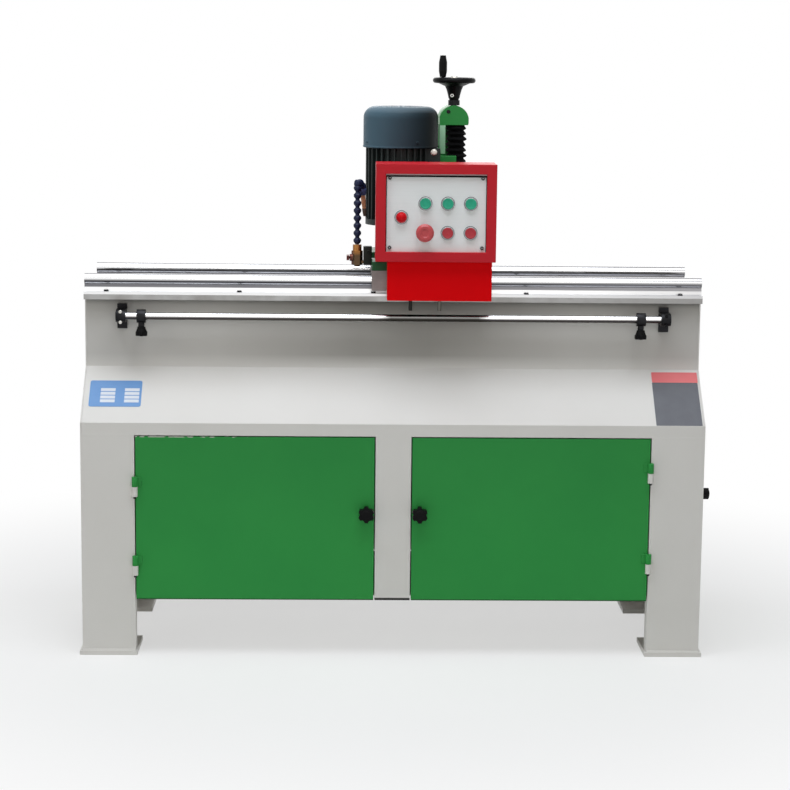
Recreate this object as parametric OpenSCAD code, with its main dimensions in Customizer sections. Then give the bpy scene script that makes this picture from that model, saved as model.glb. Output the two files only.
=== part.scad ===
// Planer knife grinder: a floor cabinet with two round guide rails on top, a carriage that a rack and pinion
// drive along them, and a vertical grinding motor that a handwheel feeds down to a tilting knife bar.
// Origin on the floor in the middle of the four anchor holes, +X to the right as seen from the front, +Z up.

/* [Cabinet] */
// Width of the cabinet
cab_w = 1400; // [1380:10:1460]
// Depth of the cabinet
cab_d = 500; // [490:5:530]
// Height of the upright front face
face_top = 533; // [525:1:545]
// Height that the sloping shoulder climbs
slope_rise = 110; // [100:1:118]
// Width of each corner post
leg_w = 120; // [105:1:130]
// Width of the post between the front doors
post_w = 80; // [70:1:90]
// Height of the front rail above the doors
header_h = 28; // [24:1:34]
// Height of the open space under the cabinet
leg_h = 129; // [110:1:140]
// Sheet thickness of the cabinet
sheet = 3; // [2.5:0.5:4]
// Thickness of the foot plates
foot_t = 10; // [8:1:14]
// Diameter of the anchor holes
anchor_d = 14; // [12:1:18]

/* [Doors] */
// Gap round each door
door_gap = 2.5; // [2:0.5:3]
// Depth of the folded door pans
door_depth = 20; // [16:1:22]
// Sheet thickness of the doors
door_sheet = 2; // [1.5:0.5:3]
// Diameter of the hinge barrels
barrel_d = 13; // [12:1:15]
// Length of one hinge knuckle
knuckle_h = 22; // [18:1:26]
// Height of the latch knobs on the front doors
latch_z = 330; // [280:1:380]
// Diameter of the latch knobs
latch_d = 36; // [30:1:40]
// Depth of the side door opening
side_door_w = 380; // [360:5:390]
// Height of the latch knob on the side door
side_latch_z = 363; // [340:1:420]
// Diameter of the latch knob on the side door
side_latch_d = 26; // [24:1:32]

/* [Bed] */
// Height of the underside of the bed plates
bed_z = 798; // [790:1:806]
// Thickness of the bed plates
bed_t = 12; // [10:1:14]
// Distance between the guide rails
rail_gap = 250; // [244:1:256]
// Diameter of the guide shafts
shaft_d = 25; // [24:1:26]
// Height of the shaft centres above the bed plates
shaft_rise = 32; // [31:1:34]
// Width of the rail support flanges
flange_w = 55; // [50:1:58]
// Gear module of the rack and pinion
gear_m = 3; // [3:0.25:3.25]
// Teeth on the pinion
pinion_teeth = 18; // [17:1:18]

/* [Carriage] */
// Place of the middle of the control box along the bed
carriage_x = 90; // [60:1:110]
// Length of the carriage plate
carriage_l = 268; // [264:1:286]
// Thickness of the carriage plate
carriage_t = 20; // [16:1:22]
// Length of one pillow block
block_l = 67; // [60:1:70]
// Width of one pillow block
block_w = 70; // [64:1:72]

/* [Grinding head] */
// Height of the motor's lower face above the carriage plate
motor_lift = 73; // [67:1:81]
// Height of the motor from its lower face to the top of its cover
motor_h = 270; // [262:1:280]
// Diameter of the fan cover
motor_d = 172; // [166:1:174]
// Diameter of the grinding wheel
wheel_d = 110; // [100:1:114]
// Height of the grinding wheel
wheel_h = 50; // [40:1:52]
// Width of the column
column_w = 68; // [64:1:72]
// Diameter of the handwheel
handwheel_d = 100; // [96:1:110]
// Outer diameter of the bellows
bellows_d = 49; // [44:1:50]
// Pleats on the bellows
bellows_n = 8; // [6:1:10]

/* [Control box] */
// Width of the control box
box_w = 268; // [260:1:276]
// Height of the control box
box_h = 217; // [210:1:226]
// Depth of the control box
box_d = 100; // [90:1:104]
// Width of the rim round the panel
rim_w = 22; // [18:1:24]
// Diameter of the push buttons
button_d = 24; // [22:1:25]
// Diameter of the emergency stop head
estop_d = 40; // [36:1:42]

/* [Stops and coolant] */
// Diameter of the stop rod
rod_d = 16; // [14:1:17]
// Height of the stop rod
rod_z = 763; // [758:1:766]
// Distance of the left stop dog from its end of the rod
left_dog_in = 47; // [41:1:76]
// Distance of the right stop dog from its end of the rod
right_dog_in = 57; // [41:1:76]
// Diameter of the hose segments
bead_d = 18; // [16:1:19]
// Spacing of the hose segments
bead_pitch = 17; // [15.5:0.5:17.5]
// Upright segments of the hose
bead_n = 8; // [6:1:8]
// Resting tilt of the knife bar
bar_tilt = 40; // [30:1:45]

/* [Hidden] */
$fn = 96;
// Running clearance of a shaft in its bore, and the gap between faces that slide or turn
fit = 0.05;
gap = 0.3;
// How far a cut runs past the face that it opens
over = 1;

// Cabinet outline
hw = cab_w / 2;
hd = cab_d / 2;
rail_y = rail_gap / 2;
waist_out = 3;
waist_y = rail_y + waist_out;
waist_z = face_top + slope_rise;
header_z = face_top - header_h;
opening_x = hw - leg_w;
return_d = 32;
return_y = hd - sheet - return_d;
foot_w = 130;
foot_out = 6;
anchor_in = 60;
anchor_x = hw - leg_w / 2;
anchor_y = hd - anchor_in;
slope = (waist_z - face_top) / (hd - waist_y);
slope_drop = sheet * sqrt(1 + slope * slope);
inner_face_z = face_top + slope * sheet - slope_drop;
inner_waist_z = face_top + slope * (hd - waist_y + sheet) - slope_drop;
floor_lift = 2;
floor_z = leg_h + floor_lift;
floor_top = floor_z + sheet;

// Doors and latches
door_top = header_z - door_gap;
barrel_r = barrel_d / 2;
pin_r = 3;
pin_tail = 4;
pin_short = 2;
leaf_w = 15;
leaf_t = 2;
leaf_in = 1;
left_hinge_z = [208, 389];
right_hinge_z = [217, 426];
side_hinge_z = [230, 430];
hinge_x = opening_x - door_gap / 2;
hinge_y = -hd - barrel_r;
side_y = side_door_w / 2;
side_sill = 40;
side_head = 20;
side_bottom = leg_h + side_sill;
side_top = header_z - side_head;
side_hinge_x = hw + barrel_r;
side_hinge_y = side_y - door_gap / 2;
latch_in = 20;
latch_x = post_w / 2 + latch_in;
side_latch_y = -side_y + latch_in;
latch_r = 5;
latch_out = 25;
latch_neck = 6;
tongue_l = 40;
tongue_w = 16;
tongue_t = 4;
tongue_gap = 2;
post_tongue = return_d + sheet + tongue_gap;
side_tongue = door_depth + tongue_gap;

// Bed
bed_top = bed_z + bed_t;
shaft_z = bed_top + shaft_rise;
shaft_r = shaft_d / 2;
bed_inner = 50;
bed_out = rail_y + flange_w / 2;
bed_in = rail_y - bed_inner;
flange_t = 6;
neck_w = 13;
neck_flare = 3;
neck_lap = 4;
rail_bolt_h = 4;
rail_bolt_r = 5;
rail_bolt_in = 50;
rail_bolt_mid = -47;
rail_bolt_x = [-hw + rail_bolt_in, -hw / 2, rail_bolt_mid, hw / 2 - rail_bolt_in, hw - rail_bolt_in];
rail_bolt_y = 19;
trough_lap = 3;
trough_d = 108;
trough_y = bed_in + trough_lap;
trough_z = bed_z - trough_d;

// Carriage
carriage_left = 141;
carriage_x0 = carriage_x - carriage_left;
carriage_x1 = carriage_x0 + carriage_l;
block_rise = 27;
block_clear = 14;
block_slot = 5;
plate_out = 3;
block_top = shaft_z + block_rise;
block_z = bed_top + block_clear;
carriage_z = block_top + carriage_t;
carriage_y0 = -rail_y - block_w / 2 - plate_out;
carriage_y1 = 200;
notch_gap = 13;

// Drive
pinion_r = gear_m * pinion_teeth / 2;
pinion_at = 70;
pinion_x = carriage_x + pinion_at;
pinion_y = -45;
pinion_lift = 2;
pinion_z = bed_top + pinion_lift;
pinion_h = 14;
pinion_shaft_r = 7;
pinion_shaft_gap = 3;
pinion_hub_h = 12;
backlash = 0.2;
pressure = 20;
dedendum = 1.25 * gear_m;
pinion_hub_r = pinion_shaft_r + 8;
rack_pitch = PI * gear_m;
rack_line = pinion_y - pinion_r;
rack_w = 16;
rack_back = rack_line - rack_w;
rack_h = 18;
rack_start = 195;
rack_stop = 45;
rack_left = floor((hw - rack_start + pinion_x) / rack_pitch);
rack_right = floor((hw - rack_stop - pinion_x) / rack_pitch);
gearbox_w = 90;
gearbox_h = 70;
drive_r = 42;
drive_h = 126;
drive_fin = 4;
fin_w = 3;
socket_l = 40;
socket_end = 2;

// Head
head_at = -75;
head_x = carriage_x + head_at;
motor_r = motor_d / 2;
motor_z = carriage_z + motor_lift;
core_in = 16;
fin_in = 6;
motor_core_r = motor_r - core_in;
fin_r = motor_r - fin_in;
cover_h = 93;
cover_z = motor_z + motor_h - cover_h;
cover_t = 2;
cover_round = 26;
spindle_r = 12;
wheel_drop = 104;
wheel_z = motor_z - wheel_drop;
wheel_wall = 12;
wheel_web = 15;
clamp_t = 6;
bracket_t = 16;
bracket_z = motor_z - bracket_t;
slide_y = 66;
slide_rise = 123;
arm_rise = 32;
slide_top = motor_z + slide_rise;
arm_top = slide_top + arm_rise;

// Column, with its right side standing back behind the bellows
column_at = 51;
column_x = carriage_x + column_at;
column_in = 14;
column_x0 = column_x - column_w / 2;
column_x1 = column_x + column_w / 2 - column_in;
column_y = 125;
column_d = 65;
column_wall = 10;
column_foot = 15;
foot_side = 20;
foot_front = 3;
bellows_l = 103;
column_top = slide_top + bellows_l;
dovetail_x = (column_x0 + column_x1) / 2;
dovetail_w = 38;
dovetail_d = 9;
dovetail_in = 5;
cap_h = 45;
cap_side = 16;
guard_w = 14;
guard_t = 6;
guard_gap = 5;
feed_up = 30;
cap_top = column_top + cap_h;

// Feed screw, bellows and handwheel
screw_y = 90;
screw_r = 9;
screw_foot = 11;
neck_r = 7;
bellows_at = 6;
bellows_x = column_x + bellows_at;
pleat_d = 6.5;
bellows_wall = 2;
collar_h = 12;
collar_r = 13.5;
hub_z = cap_top + collar_h + gap;
rim_rise = 58;
rim_z = cap_top + rim_rise;
rim_r = 6.5;
grip_r = 9.5;
grip_h = 50;
grip_at = [-28, -28];
grip_pin_r = 4;
grip_lift = 1;
grip_z = rim_z + rim_r + grip_lift;

// Control box
box_out = 59;
box_lift = 6;
box_y = carriage_y0 - box_out;
box_z = carriage_z + box_lift;
box_x0 = carriage_x - box_w / 2;
box_x1 = carriage_x + box_w / 2;
box_top = box_z + box_h;
box_sheet = 2;
box_foot_in = 24;
box_foot_w = 30;
recess = 10;
panel_t = 3;
panel_y = box_y + recess;
panel_mid = [carriage_x, box_z + box_h / 2];
panel_w = box_w - 2 * rim_w;
panel_h = box_h - 2 * rim_w;
panel_screw_in = 9;
panel_screw_h = 2.5;
panel_screw_r = 4;

// Buttons and lamp, placed from the middle of the panel
green_at = [[-24, 21], [26, 21], [77, 21]];
red_at = [[26, -44], [77, -44]];
estop_at = [-25, -43];
lamp_at = [-77, -10];
control_at = concat(green_at, red_at, [estop_at, lamp_at]);
neck_hole_r = 11.2;
neck_l = 18;
stem_r = 9;
stem_l = 16;
contact = [28, 36, 30];
contact_bore = 12;
bezel_t = 4;
bezel_w = 2.5;
bezel_floor = 1;
bezel_gap = 0.2;
bezel_r = button_d / 2 + bezel_w;
button_lift = 8.5;
button_head = 4;
estop_lift = 12;
estop_h = 15;
estop_dish_r = 10;
estop_pin_r = 5;
estop_pin_h = 8;

// Apron and stops
apron_in = 17;
apron_left = 107;
apron_right = 127;
apron_lap = 4;
apron_y = box_y + apron_in;
apron_x0 = carriage_x - apron_left;
apron_x1 = carriage_x + apron_right;
apron_z = bed_top - apron_lap;
rod_out = 40;
rod_y = -waist_y - rod_out;
rod_r = rod_d / 2;
rod_in = 84;
rod_end = hw - rod_in;
rod_seat = 12;
bracket_x = rod_end - rod_seat;
rod_bracket_w = 22;
rod_bracket_low = 32;
rod_bracket_high = 24;
rod_pad_t = 10;
rod_boss_r = 14;
left_dog_x = -rod_end + left_dog_in;
right_dog_x = rod_end - right_dog_in;
dog_r = 15;
dog_w = 20;
dog_boss_r = 7;
dog_boss_l = 24;
dog_boss_z = rod_z - dog_boss_l;
dog_screw_r = 3;
dog_screw_gap = 1;
dog_knob_r = 13.5;
knob_h = 9;
knob_neck_r = 8.5;
knob_neck_h = 11;
sensor_at = [-54, 11];
sensor_x = [carriage_x + sensor_at[0], carriage_x + sensor_at[1]];
sensor_back = 20;
sensor_y = apron_y + sensor_back;
sensor_r = 4;
sensor_gap = 4;
sensor_z = rod_z + dog_r + sensor_gap;

// Coolant valve and hose
valve_out = 33;
valve_x = carriage_x0 - valve_out;
valve_y = -95;
valve_drop = 13;
valve_z = carriage_z - valve_drop;
valve_r = 13;
valve_h = 32;
valve_l = 46;
hose_z = valve_z + valve_l;
lever_out = 24;
lever_x = valve_x - lever_out;
lever_z = valve_z + valve_h / 2;
lever_seat = 6;
lever_pin_r = 3;
bead_r = bead_d / 2;
bead_neck_in = 4.2;
bead_neck_r = bead_r - bead_neck_in;
hose_bore_r = 3.5;
bead_top = hose_z + bead_r + (bead_n - 1) * bead_pitch;
bend_r = 10;
bend_turn = 60;
bend_beads = 2;
bend_step = 84;
nozzle_l = 46;
nozzle_r = [6.5, 4];
nozzle_wall = 1.2;
nozzle_seat = bead_r - 2;

// Coolant tank and pump
tank_in = 180;
tank_l = 380;
tank_x0 = -hw + tank_in;
tank_x1 = tank_x0 + tank_l;
tank_y = 140;
tank_h = 256;
tank_top = floor_top + tank_h;
pump_in = 80;
pump_x = tank_x0 + pump_in;
spout_in = 60;
spout_x = tank_x1 - spout_in;
spout_r = 21;
spout_gap = 5;
spout_z = tank_top + spout_gap;

// Knife bar
bar_y = 15;
bar_drop = 28;
bar_z = bed_z - bar_drop;
bar_left = 100;
bar_right = 250;
bar_x = [-hw + bar_left, hw - bar_right];
bar_w = 70;
bar_face = 12;
bar_back = 22;
bar_end_gap = 1;
trunnion_r = 12;
stub_r = 8;
stub_out = 5;
bar_bracket_t = 20;
bar_bracket_lap = 4;
bar_bracket_top = bed_z + bar_bracket_lap;
lock_w = 18;
strip_gap = 3;
strip_t = 10;
strip_in = 5;
strip_y = [-25, 22];
strip_heel = 9;
strip_screws = 14;
strip_screw_y = -6;
strip_screw_r = 4;

// Shapes that repeat
module block(lo, hi) {
    translate(lo) cube(hi - lo);
}

module bar_along_x(x0, x1, y, z, r) {
    translate([x0, y, z]) rotate([0, 90, 0]) cylinder(h = x1 - x0, r = r);
}

module bar_along_y(x, y0, y1, z, r) {
    translate([x, y0, z]) rotate([-90, 0, 0]) cylinder(h = y1 - y0, r = r);
}

module bar_along_z(x, y, z0, z1, r) {
    translate([x, y, z0]) cylinder(h = z1 - z0, r = r);
}

// Sweeps a profile drawn in Y and Z along X
module along_x(x0, x1) {
    translate([x0, 0, 0]) rotate([90, 0, 90]) linear_extrude(x1 - x0) children();
}

// Sweeps a profile drawn in X and Z along Y
module along_y(y0, y1) {
    translate([0, y1, 0]) rotate([90, 0, 0]) linear_extrude(y1 - y0) children();
}

// A round motor body with cooling fins
module finned(core_r, tip_r, count, h) {
    root = core_r - 2;
    cylinder(h = h, r = core_r);
    for (i = [0:count - 1]) rotate([0, 0, i * 360 / count])
        translate([root, -fin_w / 2, 0]) cube([tip_r - root, fin_w, h]);
}

// Lower half of a weld-on hinge, with the pin that stands up out of it; the leaf points along +X
module frame_knuckle() {
    difference() {
        union() {
            translate([0, 0, -knuckle_h]) cylinder(h = knuckle_h, r = barrel_r);
            block([0, barrel_r - leaf_t, -knuckle_h + leaf_in], [leaf_w, barrel_r, -leaf_in]);
        }
        block([-leaf_w, barrel_r, -knuckle_h], [leaf_w, 2 * barrel_r, 0]);
    }
    pin_l = 2 * knuckle_h + pin_tail - pin_short;
    translate([0, 0, -knuckle_h - pin_tail]) cylinder(h = pin_l, r = pin_r);
}

// Upper half of a weld-on hinge, bored for the pin; the leaf points along -X
module door_knuckle() {
    difference() {
        union() {
            translate([0, 0, gap]) cylinder(h = knuckle_h, r = barrel_r);
            block([-leaf_w, barrel_r - leaf_t, gap + leaf_in], [0, barrel_r, knuckle_h - leaf_in]);
        }
        cylinder(h = knuckle_h + over, r = pin_r + fit);
    }
}

// A folded sheet pan that lies in the X-Z plane with its outer face at y = 0
module door_pan(w, h) {
    difference() {
        cube([w, door_depth, h]);
        block([door_sheet, door_sheet, door_sheet], [w - door_sheet, door_depth + over, h - door_sheet]);
    }
}

// A moulded hand knob whose rim is scalloped for the fingers
module star(r, h) {
    scallops = 6;
    scallop_r = r / 3;
    scallop_at = r + r / 8;
    linear_extrude(h) difference() {
        circle(r = r);
        for (i = [0:scallops - 1]) rotate(i * 360 / scallops) translate([scallop_at, 0]) circle(r = scallop_r);
    }
}

// A latch with its outer face towards -Y: knob, spindle through the door and the tongue at a depth behind it
module latch(depth, knob_d) {
    rotate([-90, 0, 0]) {
        translate([0, 0, -gap - latch_neck]) cylinder(h = latch_neck, r = knob_d / 2 - latch_neck);
        translate([0, 0, -latch_out]) star(knob_d / 2, latch_out - gap - latch_neck);
        translate([0, 0, -gap - latch_neck]) cylinder(h = depth + gap + latch_neck, r = latch_r);
    }
    block([-tongue_w / 2, depth, -tongue_w / 2], [tongue_w / 2, depth + tongue_t, tongue_l - tongue_w / 2]);
}

// Cabinet
module corner_posts() {
    color("#BDB9B2") {
        for (sx = [0, 1], sy = [0, 1]) mirror([sx, 0, 0]) mirror([0, sy, 0]) {
            block([opening_x, hd - sheet, foot_t - over], [hw, hd, header_z]);
            block([opening_x, return_y, foot_t - over], [opening_x + sheet, hd - sheet + over, header_z]);
            difference() {
                translate([hw + foot_out - foot_w, hd + foot_out - foot_w, 0]) cube([foot_w, foot_w, foot_t]);
                bar_along_z(anchor_x, anchor_y, -over, foot_t + over, anchor_d / 2);
            }
        }
        for (z = right_hinge_z) translate([hinge_x, hinge_y, z]) frame_knuckle();
        for (z = left_hinge_z) translate([-hinge_x, hinge_y, z]) mirror([1, 0, 0]) frame_knuckle();
    }
}

// Front face rail, shoulder and waist in one folded sheet; the rear one has the same profile
module shoulder_profile(bottom) {
    polygon([[-hd, bottom], [-hd, face_top], [-waist_y, waist_z], [-waist_y, bed_z], [-waist_y + sheet, bed_z],
        [-waist_y + sheet, inner_waist_z], [-hd + sheet, inner_face_z], [-hd + sheet, bottom]]);
}

module front_frame() {
    color("#BDB9B2") {
        along_x(-hw + sheet, hw - sheet) shoulder_profile(header_z);
        block([-post_w / 2, -hd, leg_h], [post_w / 2, -hd + sheet, header_z + over]);
        for (s = [0, 1]) mirror([s, 0, 0])
            block([post_w / 2 - sheet, -hd + over, leg_h], [post_w / 2, -return_y, header_z]);
    }
}

module rear_frame() {
    color("#BDB9B2") mirror([0, 1, 0]) {
        along_x(-hw + sheet, hw - sheet) shoulder_profile(header_z);
        block([-opening_x, -hd, leg_h], [opening_x, -hd + sheet, header_z + over]);
    }
}

// The rear half of the end outline is listed from the bottom up, and the front half mirrors it
module end_profile() {
    leg_in = hd - leg_w;
    rear = [[leg_in, leg_h], [leg_in, foot_t], [hd - sheet, foot_t], [hd - sheet, header_z], [hd, header_z],
        [hd, face_top], [waist_y, waist_z], [waist_y, bed_z]];
    front = [for (i = [len(rear) - 1:-1:0]) [-rear[i][0], rear[i][1]]];
    polygon(concat(rear, front));
}

module left_end_panel() {
    color("#BDB9B2") along_x(-hw, -hw + sheet) end_profile();
}

module right_end_panel() {
    color("#BDB9B2") {
        difference() {
            along_x(hw - sheet, hw) end_profile();
            block([hw - 2 * sheet, -side_y, side_bottom], [hw + over, side_y, side_top]);
        }
        for (z = side_hinge_z) translate([side_hinge_x, side_hinge_y, z]) rotate([0, 0, 90]) frame_knuckle();
    }
}

module cabinet_floor() {
    color("#BDB9B2") block([-hw + sheet, -return_y, floor_z], [hw - sheet, return_y, floor_top]);
}

// Doors
module front_door_pan() {
    x0 = post_w / 2 + door_gap;
    x1 = opening_x - door_gap;
    translate([x0, -hd, leg_h]) door_pan(x1 - x0, door_top - leg_h);
}

module latch_bore() {
    bar_along_y(latch_x, -hd - over, -hd + door_sheet + over, latch_z, latch_r + fit);
}

module right_door() {
    color("#2B7C3C") {
        difference() {
            front_door_pan();
            latch_bore();
        }
        for (z = right_hinge_z) translate([hinge_x, hinge_y, z]) door_knuckle();
    }
}

module left_door() {
    color("#2B7C3C") mirror([1, 0, 0]) {
        difference() {
            front_door_pan();
            latch_bore();
        }
        for (z = left_hinge_z) translate([hinge_x, hinge_y, z]) door_knuckle();
    }
}

module side_door() {
    w = side_door_w - 2 * door_gap;
    h = side_top - side_bottom - 2 * door_gap;
    color("#2B7C3C") {
        difference() {
            translate([hw, -side_y + door_gap, side_bottom + door_gap]) rotate([0, 0, 90]) door_pan(w, h);
            bar_along_x(hw - door_sheet - over, hw + over, side_latch_y, side_latch_z, latch_r + fit);
        }
        for (z = side_hinge_z) translate([side_hinge_x, side_hinge_y, z]) rotate([0, 0, 90]) door_knuckle();
    }
}

module right_latch() {
    color("#1B1B1D") translate([latch_x, -hd, latch_z]) latch(post_tongue, latch_d);
}

module left_latch() {
    color("#1B1B1D") translate([-latch_x, -hd, latch_z]) latch(post_tongue, latch_d);
}

module side_latch() {
    color("#1B1B1D") translate([hw, side_latch_y, side_latch_z]) rotate([0, 0, 90])
        latch(side_tongue, side_latch_d);
}

// Bed
module coolant_trough() {
    inner = trough_y - sheet;
    bore_r = spout_r - sheet;
    color("#A9A7A0") {
        difference() {
            along_x(-hw + sheet, hw - sheet)
                polygon([[-trough_y, bed_z], [-trough_y, trough_z], [trough_y, trough_z], [trough_y, bed_z],
                    [inner, bed_z], [inner, trough_z + sheet], [-inner, trough_z + sheet], [-inner, bed_z]]);
            bar_along_z(spout_x, 0, trough_z - over, trough_z + sheet + over, bore_r);
        }
        difference() {
            bar_along_z(spout_x, 0, spout_z, trough_z, spout_r);
            bar_along_z(spout_x, 0, spout_z - over, trough_z + over, bore_r);
        }
        for (x = [bar_x[0] - bar_end_gap - bar_bracket_t, bar_x[1] + bar_end_gap]) difference() {
            block([x, -inner, trough_z + sheet], [x + bar_bracket_t, inner, bar_bracket_top]);
            bar_along_x(x - over, x + bar_bracket_t + over, bar_y, bar_z, trunnion_r + fit);
        }
    }
}

module bed_plates() {
    color("#8E8E8C") for (s = [0, 1]) mirror([0, s, 0])
        block([-hw, bed_in, bed_z], [hw, bed_out, bed_top]);
}

module rail_supports() {
    neck = neck_w / 2;
    seat = shaft_rise - shaft_r + neck_lap;
    color("#D5D6D4") for (s = [0, 1]) mirror([0, s, 0]) translate([0, rail_y, bed_top]) {
        difference() {
            along_x(-hw, hw) {
                translate([-flange_w / 2, 0]) square([flange_w, flange_t]);
                polygon([[-neck - neck_flare, flange_t], [neck + neck_flare, flange_t], [neck, seat],
                    [-neck, seat]]);
            }
            bar_along_x(-hw - over, hw + over, 0, shaft_rise, shaft_r + fit);
        }
        for (x = rail_bolt_x, y = [-rail_bolt_y, rail_bolt_y])
            bar_along_z(x, y, flange_t, flange_t + rail_bolt_h, rail_bolt_r);
    }
}

module rail_shafts() {
    color("#D8DADB") for (y = [-rail_y, rail_y]) bar_along_x(-hw, hw, y, shaft_z, shaft_r);
}

// Straight-sided rack teeth on their bar, with a gap centred on the pinion at rest
module gear_rack() {
    tip = rack_pitch / 4 - gear_m * tan(pressure) - backlash;
    root = rack_pitch / 4 + dedendum * tan(pressure) - backlash;
    tip_y = rack_line + gear_m;
    root_y = rack_line - dedendum;
    teeth = [for (k = [-rack_left:rack_right]) let (x = pinion_x + (k + 0.5) * rack_pitch)
        each [[x - root, root_y], [x - tip, tip_y], [x + tip, tip_y], [x + root, root_y]]];
    x0 = pinion_x + (-rack_left - 0.5) * rack_pitch;
    x1 = pinion_x + (rack_right + 1.5) * rack_pitch;
    color("#6E6F70") translate([0, 0, bed_top]) linear_extrude(rack_h)
        polygon(concat([[x1, rack_back], [x0, rack_back], [x0, root_y]], teeth, [[x1, root_y]]));
}

// Stop rod
module stop_rod() {
    color("#C9CBCC") bar_along_x(-rod_end, rod_end, rod_y, rod_z, rod_r);
}

module rod_brackets() {
    x0 = bracket_x;
    x1 = bracket_x + rod_bracket_w;
    pad_y = -waist_y - rod_pad_t;
    color("#1B1B1D") for (s = [0, 1]) mirror([s, 0, 0]) difference() {
        union() {
            block([x0, pad_y, rod_z - rod_bracket_low], [x1, -waist_y, rod_z + rod_bracket_high]);
            block([x0, rod_y, rod_z - rod_boss_r], [x1, pad_y + over, rod_z + rod_boss_r]);
            bar_along_x(x0, x1, rod_y, rod_z, rod_boss_r);
        }
        bar_along_x(x0 - over, rod_end, rod_y, rod_z, rod_r + fit);
    }
}

module dog(x) {
    difference() {
        union() {
            bar_along_x(x - dog_w / 2, x + dog_w / 2, rod_y, rod_z, dog_r);
            bar_along_z(x, rod_y, dog_boss_z, rod_z - rod_r - dog_screw_gap, dog_boss_r);
        }
        bar_along_x(x - dog_w, x + dog_w, rod_y, rod_z, rod_r + fit);
        bar_along_z(x, rod_y, dog_boss_z - over, rod_z - rod_r, dog_screw_r + fit);
    }
}

module left_dog() {
    color("#B9BBBC") dog(left_dog_x);
}

module right_dog() {
    color("#B9BBBC") dog(right_dog_x);
}

module dog_knob(x) {
    top = dog_boss_z - gap;
    neck_z = top - knob_neck_h;
    bar_along_z(x, rod_y, neck_z, rod_z - rod_r - dog_screw_gap, dog_screw_r);
    bar_along_z(x, rod_y, neck_z, top, knob_neck_r);
    translate([x, rod_y, neck_z - knob_h]) star(dog_knob_r, knob_h);
}

module left_dog_knob() {
    color("#1B1B1D") dog_knob(left_dog_x);
}

module right_dog_knob() {
    color("#1B1B1D") dog_knob(right_dog_x);
}

// Coolant tank and pump inside the cabinet
module coolant_tank() {
    color("#4C5A60") difference() {
        block([tank_x0, -tank_y, floor_top], [tank_x1, tank_y, tank_top]);
        block([tank_x0 + sheet, -tank_y + sheet, floor_top + sheet],
            [tank_x1 - sheet, tank_y - sheet, tank_top + over]);
    }
}

module coolant_pump() {
    plate_t = 5;
    plate_w = 140;
    stalk_r = 35;
    stalk_l = 180;
    body_r = 46;
    fin_tip = 52;
    body_h = 90;
    cap_r = fin_tip + 2;
    pump_cap_h = 35;
    outlet_side = 58;
    outlet_back = 60;
    outlet_r = 10;
    outlet_h = 40;
    base = tank_top + plate_t;
    color("#35464F") {
        block([pump_x - plate_w / 2, -tank_y, tank_top], [pump_x + plate_w / 2, tank_y, base]);
        bar_along_z(pump_x, 0, tank_top - stalk_l, tank_top, stalk_r);
        translate([pump_x, 0, base]) finned(body_r, fin_tip, 20, body_h);
        bar_along_z(pump_x, 0, base + body_h, base + body_h + pump_cap_h, cap_r);
        bar_along_z(pump_x + outlet_side, outlet_back, base, base + outlet_h, outlet_r);
    }
}

// Carriage
module carriage_plate() {
    notch_y = wheel_d / 2 + notch_gap;
    low = block_top - over;
    high = carriage_z + over;
    color("#2F8A3C") {
        difference() {
            block([carriage_x0, carriage_y0, block_top], [carriage_x1, carriage_y1, carriage_z]);
            block([carriage_x0 - over, -notch_y, low], [head_x, notch_y, high]);
            bar_along_z(head_x, 0, low, high, notch_y);
            bar_along_z(pinion_x, pinion_y, low, high, pinion_shaft_r + pinion_shaft_gap);
        }
        for (x = [box_x0 + box_foot_in, box_x1 - box_foot_in - box_foot_w])
            block([x, carriage_y0, carriage_z], [x + box_foot_w, box_y + box_d, box_z]);
    }
}

module pillow_blocks() {
    slot = neck_w / 2 + block_slot;
    color("#9B9D9E") for (x = [carriage_x0, carriage_x1 - block_l], y = [-rail_y, rail_y]) difference() {
        block([x, y - block_w / 2, block_z], [x + block_l, y + block_w / 2, block_top]);
        bar_along_x(x - over, x + block_l + over, y, shaft_z, shaft_r + fit);
        block([x - over, y - slot, block_z - over], [x + block_l + over, y + slot, shaft_z - shaft_r / 2]);
    }
}

// Column with the dovetail that guides the head, and its cap with the feed screw and the guard of the way
module column() {
    wall = column_wall;
    root = dovetail_w / 2 - dovetail_in;
    foot_z = carriage_z + column_foot;
    color("#2F8A3C") {
        difference() {
            block([column_x0, column_y, foot_z], [column_x1, column_y + column_d, column_top]);
            block([column_x0 + wall, column_y + wall, foot_z - over],
                [column_x1 - wall, column_y + column_d - wall, column_top + over]);
        }
        block([column_x0 - foot_side, column_y - foot_front, carriage_z],
            [column_x1 + foot_side, carriage_y1, foot_z + over]);
        translate([dovetail_x, column_y, foot_z]) linear_extrude(column_top - foot_z)
            polygon([[-root, 0], [-dovetail_w / 2, -dovetail_d], [dovetail_w / 2, -dovetail_d], [root, 0]]);
    }
}

module column_cap() {
    crown_r = (pow(column_w / 2, 2) + pow(cap_h - cap_side, 2)) / (2 * (cap_h - cap_side));
    color("#2F8A3C") {
        difference() {
            along_y(slide_y, column_y + column_d) translate([column_x, column_top]) intersection() {
                translate([-column_w / 2, 0]) square([column_w, cap_h]);
                translate([0, cap_h - crown_r]) circle(r = crown_r);
            }
            bar_along_z(column_x, screw_y, column_top - over, cap_top + over, neck_r + fit);
        }
        block([column_x0, slide_y, slide_top + feed_up + guard_gap],
            [column_x0 + guard_w, slide_y + guard_t, column_top + over]);
    }
}

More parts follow.
